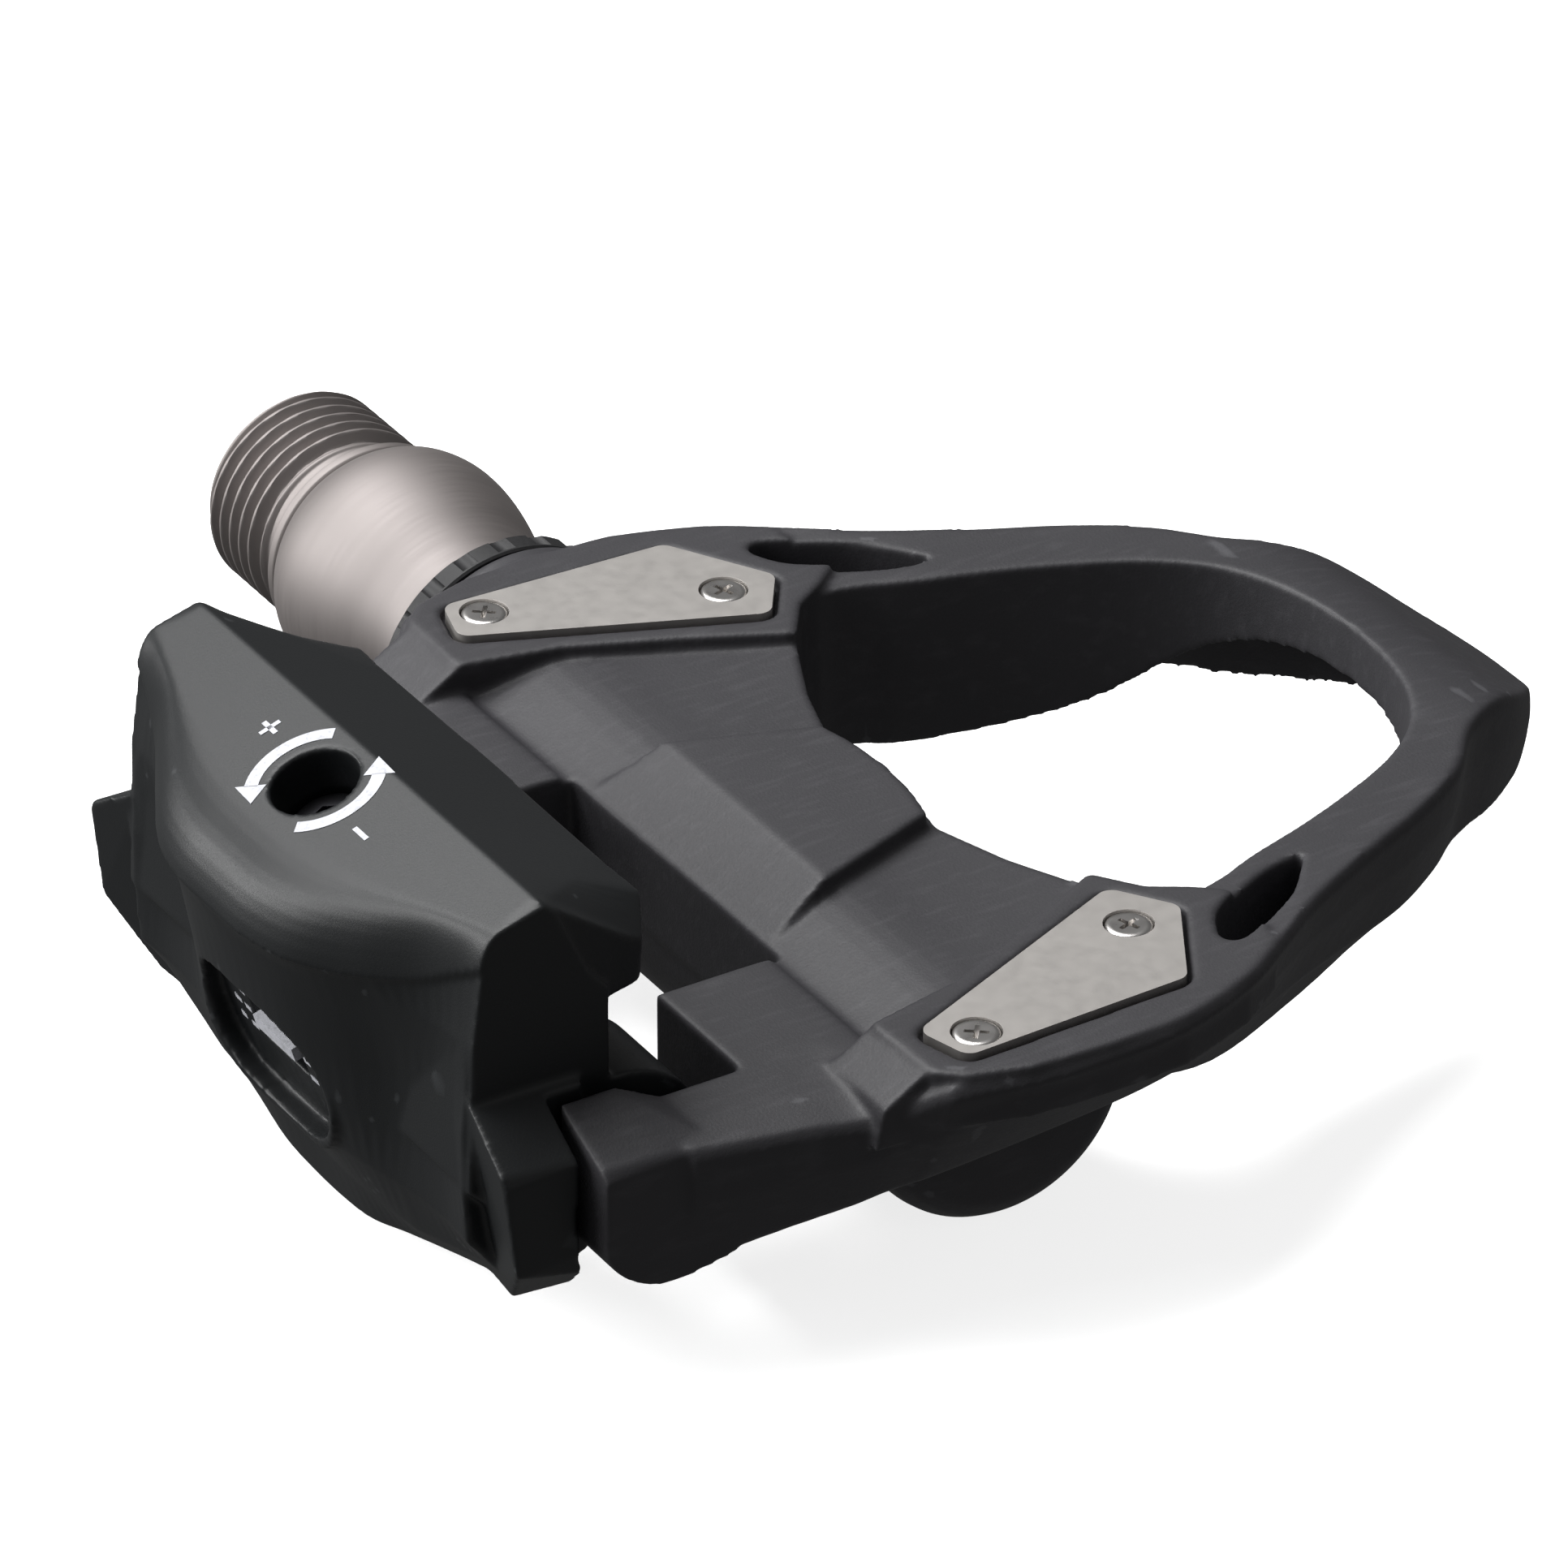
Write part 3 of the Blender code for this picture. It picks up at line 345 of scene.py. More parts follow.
def place(target, body, finish, slot, *nodes):
    """Gives a finished piece its material, its body and the CAD nodes it stands for."""
    target.data.materials.clear()
    target.data.materials.append(finish)
    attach(target, body)
    if nodes:
        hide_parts(*nodes)
    return target


# --------------------------------------------------------------- materials


class Value:
    """A socket that varies over a surface. Arithmetic on it adds Math nodes."""

    def __init__(self, finish, socket):
        self.finish = finish
        self.socket = socket

    def _math(self, operation, first, second):
        node = self.finish.node("ShaderNodeMath", {"operation": operation}, {0: first, 1: second})
        return Value(self.finish, node.outputs[0])

    def __add__(self, other):
        return self._math("ADD", self, other)

    def __sub__(self, other):
        return self._math("SUBTRACT", self, other)

    def __mul__(self, other):
        return self._math("MULTIPLY", self, other)

    def __rsub__(self, other):
        return self._math("SUBTRACT", other, self)

    __radd__ = __add__
    __rmul__ = __mul__

    def between(self, low, high):
        """0 at low and below, 1 at high and above, and even between."""
        sockets = {"Value": self, "From Min": low, "From Max": high}
        node = self.finish.node("ShaderNodeMapRange", {"clamp": True}, sockets)
        return Value(self.finish, node.outputs[0])


class Finish:
    """One procedural material, built round its Principled shader."""

    def __init__(self, name, roughness, metallic=0.0):
        self.material = bpy.data.materials.new(name)
        self.material.use_nodes = True
        self.tree = self.material.node_tree
        self.shader = self.tree.nodes["Principled BSDF"]
        self.shader.inputs["Roughness"].default_value = roughness
        self.shader.inputs["Metallic"].default_value = metallic
        coordinates = self.node("ShaderNodeTexCoord", {}, {})
        self.place = Value(self, coordinates.outputs["Object"])

    def node(self, kind, settings, sockets):
        """A node with its settings made first, then its sockets fed."""
        made = self.tree.nodes.new(kind)
        for key, value in settings.items():
            setattr(made, key, value)
        for key, value in sockets.items():
            self.feed(made.inputs[key], value)
        return made

    def feed(self, target, value):
        if isinstance(value, Value):
            self.tree.links.new(value.socket, target)
        else:
            target.default_value = value

    def stretched(self, x, y, z):
        """The surface's place, scaled by a factor on each axis."""
        node = self.node(
            "ShaderNodeVectorMath", {"operation": "MULTIPLY"}, {0: self.place, 1: (x, y, z)}
        )
        return Value(self, node.outputs[0])

    def noise(self, scale, detail=2.0, vector=None):
        sockets = {"Vector": vector or self.place, "Scale": scale, "Detail": detail}
        return Value(self, self.node("ShaderNodeTexNoise", {}, sockets).outputs["Fac"])

    def edge(self, low, high):
        """1 on outward edges, 0 elsewhere."""
        node = self.node("ShaderNodeNewGeometry", {}, {})
        return Value(self, node.outputs["Pointiness"]).between(low, high)

    def mix(self, amount, first, second):
        """A colour between two colours, each an (r, g, b) or a Value."""
        factor, first_socket, second_socket, colour_out = 0, 6, 7, 2
        sockets = {factor: amount}
        for socket, colour in ((first_socket, first), (second_socket, second)):
            sockets[socket] = colour if isinstance(colour, Value) else (*colour, 1.0)
        node = self.node("ShaderNodeMix", {"data_type": "RGBA"}, sockets)
        return Value(self, node.outputs[colour_out])

    def colour(self, value):
        self.feed(self.shader.inputs["Base Color"], value)

    def rough(self, value):
        self.feed(self.shader.inputs["Roughness"], value)

    def relief(self, height, depth_mm, strength=1.0):
        sockets = {"Height": height, "Distance": depth_mm * MM, "Strength": strength}
        node = self.node("ShaderNodeBump", {}, sockets)
        self.tree.links.new(node.outputs["Normal"], self.shader.inputs["Normal"])


def fibre_composite():
    """Moulded fibre-filled plastic: fine grain, faint flow streaks, paler edges that are partly
    wear and partly a painted highlight.
    """
    made = Finish("moulded_composite", 0.5)
    grain = made.noise(5200.0, 3.0)
    streak = made.noise(900.0, 3.0, made.stretched(0.35, 1.6, 1.0))
    cloud = made.noise(70.0, 3.0)
    base = made.mix(cloud, (0.034, 0.033, 0.0375), (0.044, 0.043, 0.048))
    flecked = made.mix(streak.between(0.52, 0.78) * 0.35, base, (0.080, 0.078, 0.086))
    # Pointiness lightens the edges: partly edge wear, partly a painted highlight where the fillets
    # catch the light.
    edge_wear_and_highlight = made.mix(made.edge(0.53, 0.62) * 0.5, flecked, (0.12, 0.12, 0.13))
    made.colour(edge_wear_and_highlight)
    made.rough(0.42 + grain * 0.16 + cloud * 0.08)
    made.relief(grain + streak * 0.8, 0.030, 0.55)
    return made.material


def claw_plastic():
    """Smooth satin moulding with a very fine spark-eroded texture, and a painted highlight on its
    edges.
    """
    made = Finish("claw_moulding", 0.4)
    grain = made.noise(7000.0, 2.0)
    cloud = made.noise(45.0, 2.0)
    base = made.mix(cloud, (0.0075, 0.0088, 0.0098), (0.0115, 0.0130, 0.0142))
    # Pointiness makes the edges much paler: a painted highlight on the fillets.
    made.colour(made.mix(made.edge(0.54, 0.64) * 0.35, base, (0.075, 0.08, 0.085)))
    made.rough(0.36 + grain * 0.10 + cloud * 0.05)
    made.relief(grain, 0.016, 0.5)
    return made.material


def satin_steel(name, colour, roughness, scale, stretch):
    """Steel with a fine directional finish."""
    made = Finish(name, roughness, 1.0)
    brushed = made.noise(scale, 3.0, made.stretched(*stretch))
    cloud = made.noise(60.0, 2.0)
    dark = tuple(c * 0.90 for c in colour)
    pale = tuple(min(1.0, c * 1.06) for c in colour)
    made.colour(made.mix(brushed * 0.6 + cloud * 0.4, dark, pale))
    made.rough(roughness - 0.06 + brushed * 0.12 + cloud * 0.05)
    made.relief(brushed, 0.006, 0.5)
    return made.material


def plain_moulding(name, colour, roughness):
    """Dark moulded plastic or rubber with a fine grain."""
    made = Finish(name, roughness)
    grain = made.noise(4200.0, 2.0)
    pale = tuple(c * 1.5 + 0.004 for c in colour)
    made.colour(made.mix(grain.between(0.3, 0.8), colour, pale))
    made.rough(roughness - 0.05 + grain * 0.12)
    made.relief(grain, 0.012, 0.4)
    return made.material


def mark_paint():
    """Pale pad-printed ink, a little broken by the texture under it."""
    made = Finish("mark_ink", 0.55)
    speck = made.noise(3000.0, 3.0)
    made.colour(made.mix(speck.between(0.25, 0.5), (0.46, 0.47, 0.50), (0.66, 0.67, 0.72)))
    made.rough(0.5 + speck * 0.15)
    made.relief(speck, 0.008, 0.3)
    return made.material


# ------------------------------------------------------------- pedal body

# Stations of the platform from nose to tail:
# x, rim |y|, rim z, lower edge |y|, lower edge z, middle top z, middle bottom z
STATIONS = (
    (54.4, 0.8, -9.0, 0.8, -12.0, -8.8, -12.1),
    (53.7, 2.5, -8.2, 2.3, -11.9, -8.0, -12.0),
    (52.2, 4.5, -6.9, 4.1, -11.8, -6.8, -11.9),
    (50.2, 6.8, -5.4, 6.2, -11.7, -5.3, -11.0),
    (47.9, 9.2, -3.6, 8.1, -11.5, -3.5, -8.6),
    (45.4, 11.2, -2.0, 9.9, -11.2, -1.8, -6.2),
    (42.8, 12.9, -1.2, 11.4, -10.8, -1.1, -4.6),
    (40.4, 14.7, -1.0, 12.9, -10.6, -0.9, -5.2),
    (37.3, 18.1, -1.0, 15.6, -10.2, -0.9, -7.2),
    (32.5, 21.1, -0.9, 18.9, -9.7, -0.9, -10.6),
    (27.2, 23.6, -0.8, 21.2, -9.4, -0.9, -12.2),
    (21.0, 26.8, -0.6, 24.0, -9.0, -0.9, -12.8),
    (16.2, 30.0, -0.5, 26.4, -8.8, -0.9, -12.6),
    (12.0, 32.7, -0.5, 28.2, -8.6, -1.1, -11.6),
    (6.1, 34.8, -0.6, 29.8, -8.5, -1.3, -9.6),
    (0.5, 35.1, -0.8, 30.4, -8.6, -1.3, -9.2),
    (-4.6, 34.8, -0.9, 30.4, -9.0, -1.3, -9.2),
    (-9.6, 33.6, -1.1, 30.0, -9.6, -2.8, -9.4),
    (-10.5, 33.0, -1.5, 29.6, -9.9, -2.4, -9.6),
    (-12.2, 31.8, -2.5, 29.2, -10.2, -2.3, -9.8),
    (-14.2, 30.7, -3.4, 28.9, -10.6, -2.3, -10.0),
    (-18.0, 29.8, -3.3, 28.4, -11.0, -2.3, -10.3),
    (-22.0, 29.1, -3.2, 28.0, -11.4, -2.3, -10.8),
    (-25.4, 28.5, -3.1, 27.6, -11.6, -2.3, -11.0),
)
LOOP_HALF = (
    (41.4, 0.0), (41.0, 4.2), (39.8, 8.3), (37.6, 11.8), (34.0, 14.6), (29.1, 16.9),
    (24.8, 18.5), (21.2, 19.6), (19.2, 20.3), (17.2, 21.1), (14.5, 21.6), (12.1, 20.3),
    (9.9, 17.2), (7.4, 11.8), (5.7, 6.4), (5.9, 4.8), (6.4, 2.6), (6.6, 0.0),
)
PLATE_OUTLINE = ((9.57, 19.8), (12.35, 23.87), (8.2, 31.05), (-8.0, 31.66), (-9.1, 27.7))
STRIP_OUTLINE = (
    (9.9, 17.2), (12.1, 20.3), (14.6, 21.9), (16.4, 23.4), (15.6, 29.9), (11.9, 32.4),
    (6.1, 34.4), (0.5, 34.7), (-5.0, 34.4), (-9.0, 33.2), (-10.6, 31.8), (-10.9, 25.4),
    (-10.2, 24.9), (-3.8, 23.5), (3.4, 20.4),
)
GROOVE_OUTLINE = (
    (12.9, 28.2), (13.9, 28.6), (16.6, 27.3), (19.7, 25.3), (22.7, 22.0), (22.3, 21.6),
    (19.3, 22.3), (14.6, 24.9), (13.0, 27.2),
)
# Depth of the loop's wall, then how far its outline is moved outward there
LOOP_LEVELS = ((-24.0, -0.9), (-6.4, -0.3), (4.0, 0.25))
SCREWS = ((8.5, 24.0), (-6.1, 29.6))
SCREW_HEAD_R = 1.5
SCREW_LENGTH = 3.8
PLATE_THICK = 1.0
PLATE_CORNER_R = 1.0
PLATE_FIT = 0.3
STRIP_Z = -0.25
STRIP_FOOT_Z = -4.0
STRIP_SLOPE_Y = (24.9, 31.4)
GROOVE_FOOT_Z = -5.4
PLATEAU_Z = -2.3
DECK_TRIM_Z = -1.6
ABOVE = 3.0
BELOW = -26.0

AXLE_Z = -9.8
AXLE = (0.0, 0.0, AXLE_Z)
HOUSING_R = 9.3
HOUSING_END_Y = -24.6
HOUSING_MOUTH_Y = 36.5
BORE_R = 7.15
MOUTH_BORE_R = 8.05

# Claw's pin, and the arms that hold it
PIN_X = -26.3
PIN_Z = -6.8
PIN_HOLE_R = 2.12
ARM_END_R = 5.3
ARM_BACK_X = -31.2
ARM_INNER_Y = 22.5
ARM_OUTER_Y = 28.0
BAY_BACK_X = -40.0
BAY_FRONT_X = -9.55
BAY_HALF_Y = 12.6
CHEEK_BAY_X = -18.6


def rim_section(x, rim_y, rim_z, low_y, low_z, top_z, bottom_z):
    """One cross-section of the platform, a closed loop from its middle round both sides."""
    inner_y = min(0.72 * rim_y, 0.9 * low_y)
    waist_z = rim_z + 0.42 * (low_z - rim_z)
    half = [
        (0.5 * inner_y, top_z),
        (inner_y, top_z),
        (0.9 * rim_y, 0.6 * top_z + 0.4 * rim_z + 0.1),
        (rim_y - 0.08 * rim_y**0.5, rim_z + 0.2),
        (rim_y, rim_z - 0.5),
        (0.35 * low_y + 0.65 * rim_y + 0.15, waist_z),
        (low_y, low_z + 0.5),
        (low_y - 0.1 * low_y**0.5, low_z),
        (0.88 * low_y, bottom_z),
    ]
    loop = [(x, 0.0, top_z)]
    loop += [(x, y, z) for y, z in half]
    loop += [(x, 0.0, bottom_z)]
    loop += [(x, -y, z) for y, z in reversed(half)]
    return loop


def platform():
    """The plate-like body from nose to rear arms, with the loop cut out."""
    rows = curved(STATIONS, 4)
    rows = [row for row in rows if row[1] > 0.5]
    body = loft("platform", [rim_section(*row) for row in rows])
    half = curved(LOOP_HALF[:12], 4) + list(LOOP_HALF[12:])
    loop = half + [(x, -y) for x, y in reversed(half[1:-1])]
    sections = [[(x, y, z) for x, y in grown(loop, reach)] for z, reach in LOOP_LEVELS]
    cut(body, loft("loop_cut", sections))
    return body


def strips(body):
    """Raised strips that carry the steel plates, sloping down at their rear ends."""
    slope = [(-8.0, STRIP_Z), (-10.4, STRIP_Z), (-13.8, PLATEAU_Z), (-14.4, -5.0), (-8.0, -5.0)]
    for side in (1, -1):
        outline = rounded([(x, side * y) for x, y in STRIP_OUTLINE], 0.5, 2)
        join(body, prism("strip", outline, STRIP_FOOT_Z, STRIP_Z))
        low, high = sorted(side * y for y in STRIP_SLOPE_Y)
        join(body, side_prism("strip_slope", slope, low, high))


def centre_panel(body):
    """Raised panel over the axle housing, with its slope down to the spring bay."""
    panel = []
    for side in (1, -1):
        panel += [(5.0, side * 6.3, 0.0), (5.6, side * 3.6, 0.0), (-4.6, side * 9.8, 0.0)]
        panel += [(-9.4, side * 10.8, -2.8), (-9.5, side * 10.8, -7.0)]
        panel += [(5.2, side * 6.5, -7.0)]
    panel += [(5.9, 0.0, 0.0), (6.1, 0.0, -7.0)]
    join(body, hull("panel", panel))


def axle_housing(body):
    """Adds the tube for the axle unit, trimmed under the deck, and returns its bore."""
    corner = 3.0
    corner_y = HOUSING_END_Y + corner
    profile = [(HOUSING_END_Y, 0.0), (HOUSING_END_Y, 4.6)]
    for angle in (1.2, 0.8, 0.4, 0.0):
        away = corner * math.cos(angle)
        profile.append((corner_y - corner * math.sin(angle), HOUSING_R - corner + away))
    profile += [(35.9, HOUSING_R), (HOUSING_MOUTH_Y, 8.8), (HOUSING_MOUTH_Y, 0.0)]
    shell = turned("housing", profile, AXLE)
    deck = [(-13.0, -30.0), (13.0, -30.0), (13.0, 32.5), (-13.0, 32.5)]
    cut(shell, prism("deck_trim", deck, DECK_TRIM_Z, 2.0))
    join(body, shell)
    bore = [(-23.2, 0.0), (-23.2, BORE_R), (31.0, BORE_R), (31.0, MOUTH_BORE_R)]
    return turned("bore", bore + [(40.0, MOUTH_BORE_R), (40.0, 0.0)], AXLE)


def arm_end_points():
    """A hub round the pin, squared off behind and sloped on top like the claw's lug."""
    found = []
    for y in (ARM_INNER_Y, ARM_OUTER_Y):
        found += [(x, y, z) for x, z in arc((PIN_X, PIN_Z), ARM_END_R, 200, 290, 12)]
        found += [(ARM_BACK_X, y, -8.0), (-22.0, y, -11.4)]
    found += [(x, ARM_INNER_Y, z) for x, z in ((ARM_BACK_X, -0.7), (-27.6, -0.6), (-24.2, -2.4))]
    found += [(ARM_BACK_X, ARM_OUTER_Y - 0.5, -2.9), (ARM_BACK_X, ARM_OUTER_Y, -3.5)]
    found += [(-27.4, ARM_OUTER_Y - 0.3, -2.9), (-23.0, ARM_OUTER_Y, -3.2)]
    return found


def bay_cutter(name, front_x, low_y, high_y):
    outline = [(BAY_BACK_X, low_y), (front_x, low_y), (front_x, high_y), (BAY_BACK_X, high_y)]
    return prism(name, outline, BELOW, 2.0 * ABOVE)


def rear_arms(body):
    """Bays for the springs and the claw's cheeks, then the arms' squared ends."""
    cut(body, bay_cutter("spring_bay", BAY_FRONT_X, -BAY_HALF_Y, BAY_HALF_Y))
    for side in (1, -1):
        low, high = sorted((side * 12.0, side * ARM_INNER_Y))
        cut(body, bay_cutter("cheek_bay", CHEEK_BAY_X, low, high))
        join(body, hull("arm_end", [(x, side * y, z) for x, y, z in arm_end_points()]))
        low, high = sorted((side * (ARM_INNER_Y - 2.0), side * 27.2))
        cut(body, turned("pin_hole", disc(low, high, PIN_HOLE_R), (PIN_X, 0.0, PIN_Z)))


def plate_seats(body):
    """Sunk seats under the steel plates, and the long groove ahead of each one."""
    for side in (1, -1):
        outline = grown(rounded(PLATE_OUTLINE, PLATE_CORNER_R), PLATE_FIT)
        seat = [(x, side * y) for x, y in outline]
        cut(body, prism("plate_seat", seat, -PLATE_THICK - 0.2, ABOVE))
        groove = curved([(x, side * y) for x, y in GROOVE_OUTLINE + GROOVE_OUTLINE[:1]], 4)[:-1]
        cut(body, prism("groove", groove, GROOVE_FOOT_Z, ABOVE))


def make_body(finish):
    body = platform()
    centre_panel(body)
    strips(body)
    bore = axle_housing(body)
    rear_arms(body)
    cut(body, bore)
    plate_seats(body)
    moulded(body, 0.21, 10, MOST_TRIANGLES)
    return place(body, "body", finish, "body_composite", "pedal_body")


# ----------------------------------------------------------- plates, screws


def make_plates(finish):
    for name, side in (("inboard", 1), ("outboard", -1)):
        outline = [(x, side * y) for x, y in rounded(PLATE_OUTLINE, PLATE_CORNER_R, 8)]
        plate = prism(f"steel_plate_{name}", outline, -PLATE_THICK, 0.0)
        sink = [(-PLATE_THICK - 0.5, 0.0), (-PLATE_THICK - 0.5, 1.25), (-PLATE_THICK, 1.25)]
        sink += [(-0.32, SCREW_HEAD_R + 0.12), (0.5, SCREW_HEAD_R + 0.12), (0.5, 0.0)]
        for x, y in SCREWS:
            cut(plate, turned_about("sink", sink, (x, side * y, 0.0), UP, AHEAD, 48))
        soft_edges(plate, 0.14, 40.0, 3)
        place(plate, "body", finish, "plate_steel", f"cover_plate_{name}")


def cross_slot(spot, angle):
    """Cutter for one of a screw's two crossed slots, narrower at its foot."""
    ahead = Vector((math.cos(angle), math.sin(angle), 0.0))
    aside = Vector((-math.sin(angle), math.cos(angle), 0.0))
    low = []
    high = []
    for a, b in ((-1, -1), (1, -1), (1, 1), (-1, 1)):
        low.append(spot + ahead * 0.42 * a + aside * 0.10 * b - UP * 0.85)
        high.append(spot + ahead * 0.92 * a + aside * 0.18 * b + UP * 0.3)
    return loft("recess", [low, high])


def make_screws(finish):
    """Countersunk screws with crowned heads, each left turned at its own angle."""
    profile = [(-SCREW_LENGTH, 0.0), (-SCREW_LENGTH, 1.1), (-1.0, 1.1)]
    profile += [(-0.42, SCREW_HEAD_R - 0.02), (-0.20, SCREW_HEAD_R)]
    for t in (0.4, 0.8, 1.2, 1.5):
        crown = SCREW_HEAD_R * (0.72 + 0.28 * math.cos(t))
        profile.append((-0.20 + 0.17 * math.sin(t), crown))
    profile.append((-0.02, 0.0))
    for name, side in (("inboard", 1), ("outboard", -1)):
        for spot_name, (x, y) in zip(("front", "rear"), SCREWS):
            spot = Vector((x, side * y, 0.0))
            screw = turned_about("screw", profile, spot, UP, AHEAD, 48)
            turn = math.radians(18.0 if spot_name == "front" else 52.0)
            cut(screw, cross_slot(spot, turn), cross_slot(spot, turn + math.pi / 2.0))
            soft_edges(screw, 0.03, 50.0, 2)
            screw.name = f"cross_screw_{name}_{spot_name}"
            place(screw, "body", finish, "screw_steel", f"plate_screw_{name}_{spot_name}")


# ---------------------------------------------------------------- axle unit

CRANK_SEAT_Y = 56.0
THREAD_START = 58.1
THREAD_PITCH = 1.27
THREAD_CRESTS = 6
THREAD_R = 7.14
THREAD_DEPTH = 0.74
THREAD_END = THREAD_START + THREAD_CRESTS * THREAD_PITCH
SOCKET_FLATS = 8.0
SOCKET_DEPTH = 7.5
SPLINES = 20
SPLINE_CENTRE_R = 9.25


def thread_height(turns):
    """How far up the flank a point lies, 0 at the root and 1 at the crest."""
    phase = turns - math.floor(turns)
    rise = 1.0 - abs(2.0 * phase - 1.0)
    return min(1.0, max(0.0, (rise - 0.14) / 0.70))


def threaded_end():
    """A true right-hand helix on the crank end of the spindle."""
    steps = 120
    rows = []
    for y in np.linspace(THREAD_START - 0.35, THREAD_END, 118):
        row = []
        for step in range(steps):
            share = step / steps
            fade = min(1.0, max(0.0, (y - THREAD_START + 0.3) / 0.7))
            fade *= min(1.0, max(0.0, (THREAD_END - y) / 0.55))
            height = thread_height((y - THREAD_START) / THREAD_PITCH + share)
            radius = THREAD_R - THREAD_DEPTH * (1.0 - height * fade)
            angle = 2.0 * math.pi * share
            row.append((radius * math.cos(angle), y, AXLE_Z - radius * math.sin(angle)))
        rows.append(row)
    return loft("thread", rows)


def make_spindle(finish):
    """Shaft with a bell-shaped flange, the crank thread and a hexagon socket in its end."""
    bell = curved(
        ((39.0, 6.6), (41.6, 6.65), (44.0, 7.25), (46.6, 8.1), (49.2, 8.66), (51.4, 8.8),
         (53.2, 8.5), (54.4, 7.95), (55.1, 7.42)), 6,
    )
    profile = [
        (-22.6, 0.0), (-22.6, 2.7), (-22.3, 2.95), (-17.5, 2.95), (-17.4, 3.7),
        (-13.0, 3.7), (-12.0, 4.6), (24.0, 4.6), (25.0, 3.7), (29.0, 3.7),
        (30.6, 5.3), (31.2, 6.6),
    ]
    profile += bell
    profile += [(55.2, 7.36), (55.3, 7.5), (55.42, 7.55), (55.9, 7.55), (CRANK_SEAT_Y, 7.48)]
    root = THREAD_R - THREAD_DEPTH
    profile += [(CRANK_SEAT_Y, root), (THREAD_START, root), (THREAD_START, 0.0)]
    spindle = turned("spindle_shaft", profile, AXLE, 120)
    join(spindle, threaded_end())
    corner = SOCKET_FLATS / math.sqrt(3.0)
    angles = [math.radians(60 * k) for k in range(6)]
    socket = [(corner * math.cos(a), AXLE_Z + corner * math.sin(a)) for a in angles]
    cut(spindle, side_prism("socket", socket, THREAD_END - SOCKET_DEPTH, THREAD_END + ABOVE))
    foot = THREAD_END - 0.7
    mouth = THREAD_END + 0.3
    chamfer = ((foot, 0.0), (foot, 4.1), (mouth, 5.2), (mouth, 0.0))
    cut(spindle, turned("socket_mouth", chamfer, AXLE, 60))
    smooth_by_angle(spindle, 32.0)
    return place(spindle, "axle", finish, "satin_steel", "spindle")


def make_lock_bolt(finish, rubber):
    """Splined plastic bolt that holds the axle unit, and the seal inside it."""
    profile = (
        (31.3, 6.9), (31.3, 7.9), (36.55, 7.9), (36.8, 8.1), (36.8, 8.75), (36.95, 8.9),
        (38.5, 8.9), (39.0, 8.45), (39.0, 7.75), (36.9, 7.75), (36.9, 6.9),
    )
    bolt = turned("splined_lock_bolt", profile, AXLE, 120)
    for k in range(SPLINES):
        angle = 2.0 * math.pi * k / SPLINES
        x = SPLINE_CENTRE_R * math.cos(angle)
        centre = (x, 0.0, AXLE_Z + SPLINE_CENTRE_R * math.sin(angle))
        cut(bolt, turned("spline", disc(37.1, 40.0, 0.75), centre, 12))
    soft_edges(bolt, 0.10, 35.0, 2)
    place(bolt, "body", finish, "sleeve_plastic", "lock_bolt")
    profile = (
        (37.1, 6.75), (37.1, 7.6), (38.7, 7.6), (39.1, 7.45), (39.3, 7.2), (39.3, 6.85),
        (39.0, 6.72), (38.2, 6.72), (37.9, 6.9), (37.5, 6.9),
    )
    seal = turned("lip_seal", profile, AXLE, 120)
    smooth_by_angle(seal, 40.0)
    place(seal, "body", rubber, "seal_rubber", "dust_seal")


# --------------------------------------------------------------------- claw

BOLT_TOP = Vector((-35.0, 0.0, 11.4))
BOLT_TILT = math.radians(17.0)
BOLT_DOWN = Vector((math.sin(BOLT_TILT), 0.0, -math.cos(BOLT_TILT)))
BOLT_AHEAD = Vector((math.cos(BOLT_TILT), 0.0, math.sin(BOLT_TILT)))
BACK_LEVELS = (4.0, 2.0, -2.0, -6.0, -10.0, -14.0)
# |y|, then X of the back wall at each of BACK_LEVELS, then the foot's Z
BACK_RIBS = (
    (0.0, -42.2, -41.7, -40.9, -39.7, -38.0, -35.8, -18.6),
    (5.0, -41.7, -41.2, -40.5, -39.6, -38.1, -35.9, -18.1),
    (9.0, -40.5, -39.9, -39.1, -38.5, -37.5, -35.7, -17.0),
    (13.0, -38.4, -37.9, -37.0, -36.7, -36.6, -35.4, -16.0),
    (17.0, -36.9, -36.6, -36.3, -36.3, -36.3, -35.2, -15.0),
    (20.6, -36.4, -36.6, -36.9, -36.9, -36.6, -34.9, -14.3),
)


def bolt_point(depth, ahead=0.0, across=0.0):
    return BOLT_TOP + BOLT_DOWN * depth + BOLT_AHEAD * ahead + Vector((0.0, across, 0.0))


def bolt_turned(name, profile, steps=64):
    """A solid turned on the tension bolt's axis, by depth below the hood's back slope."""
    return turned_about(name, profile, BOLT_TOP, BOLT_DOWN, BOLT_AHEAD, steps)


# |y|, then the hood's top edge of the rim (X), its crease (X, Z)
RIM_LINE = (
    (0.0, -38.4, -42.7, 5.0), (4.0, -38.3, -42.6, 5.0), (8.0, -37.9, -41.7, 5.1),
    (12.0, -37.1, -39.7, 5.5), (16.0, -36.0, -37.5, 6.6), (19.0, -35.1, -36.4, 8.2),
    (21.0, -34.4, -35.9, 9.3), (21.3, -34.3, -35.8, 9.4),
)
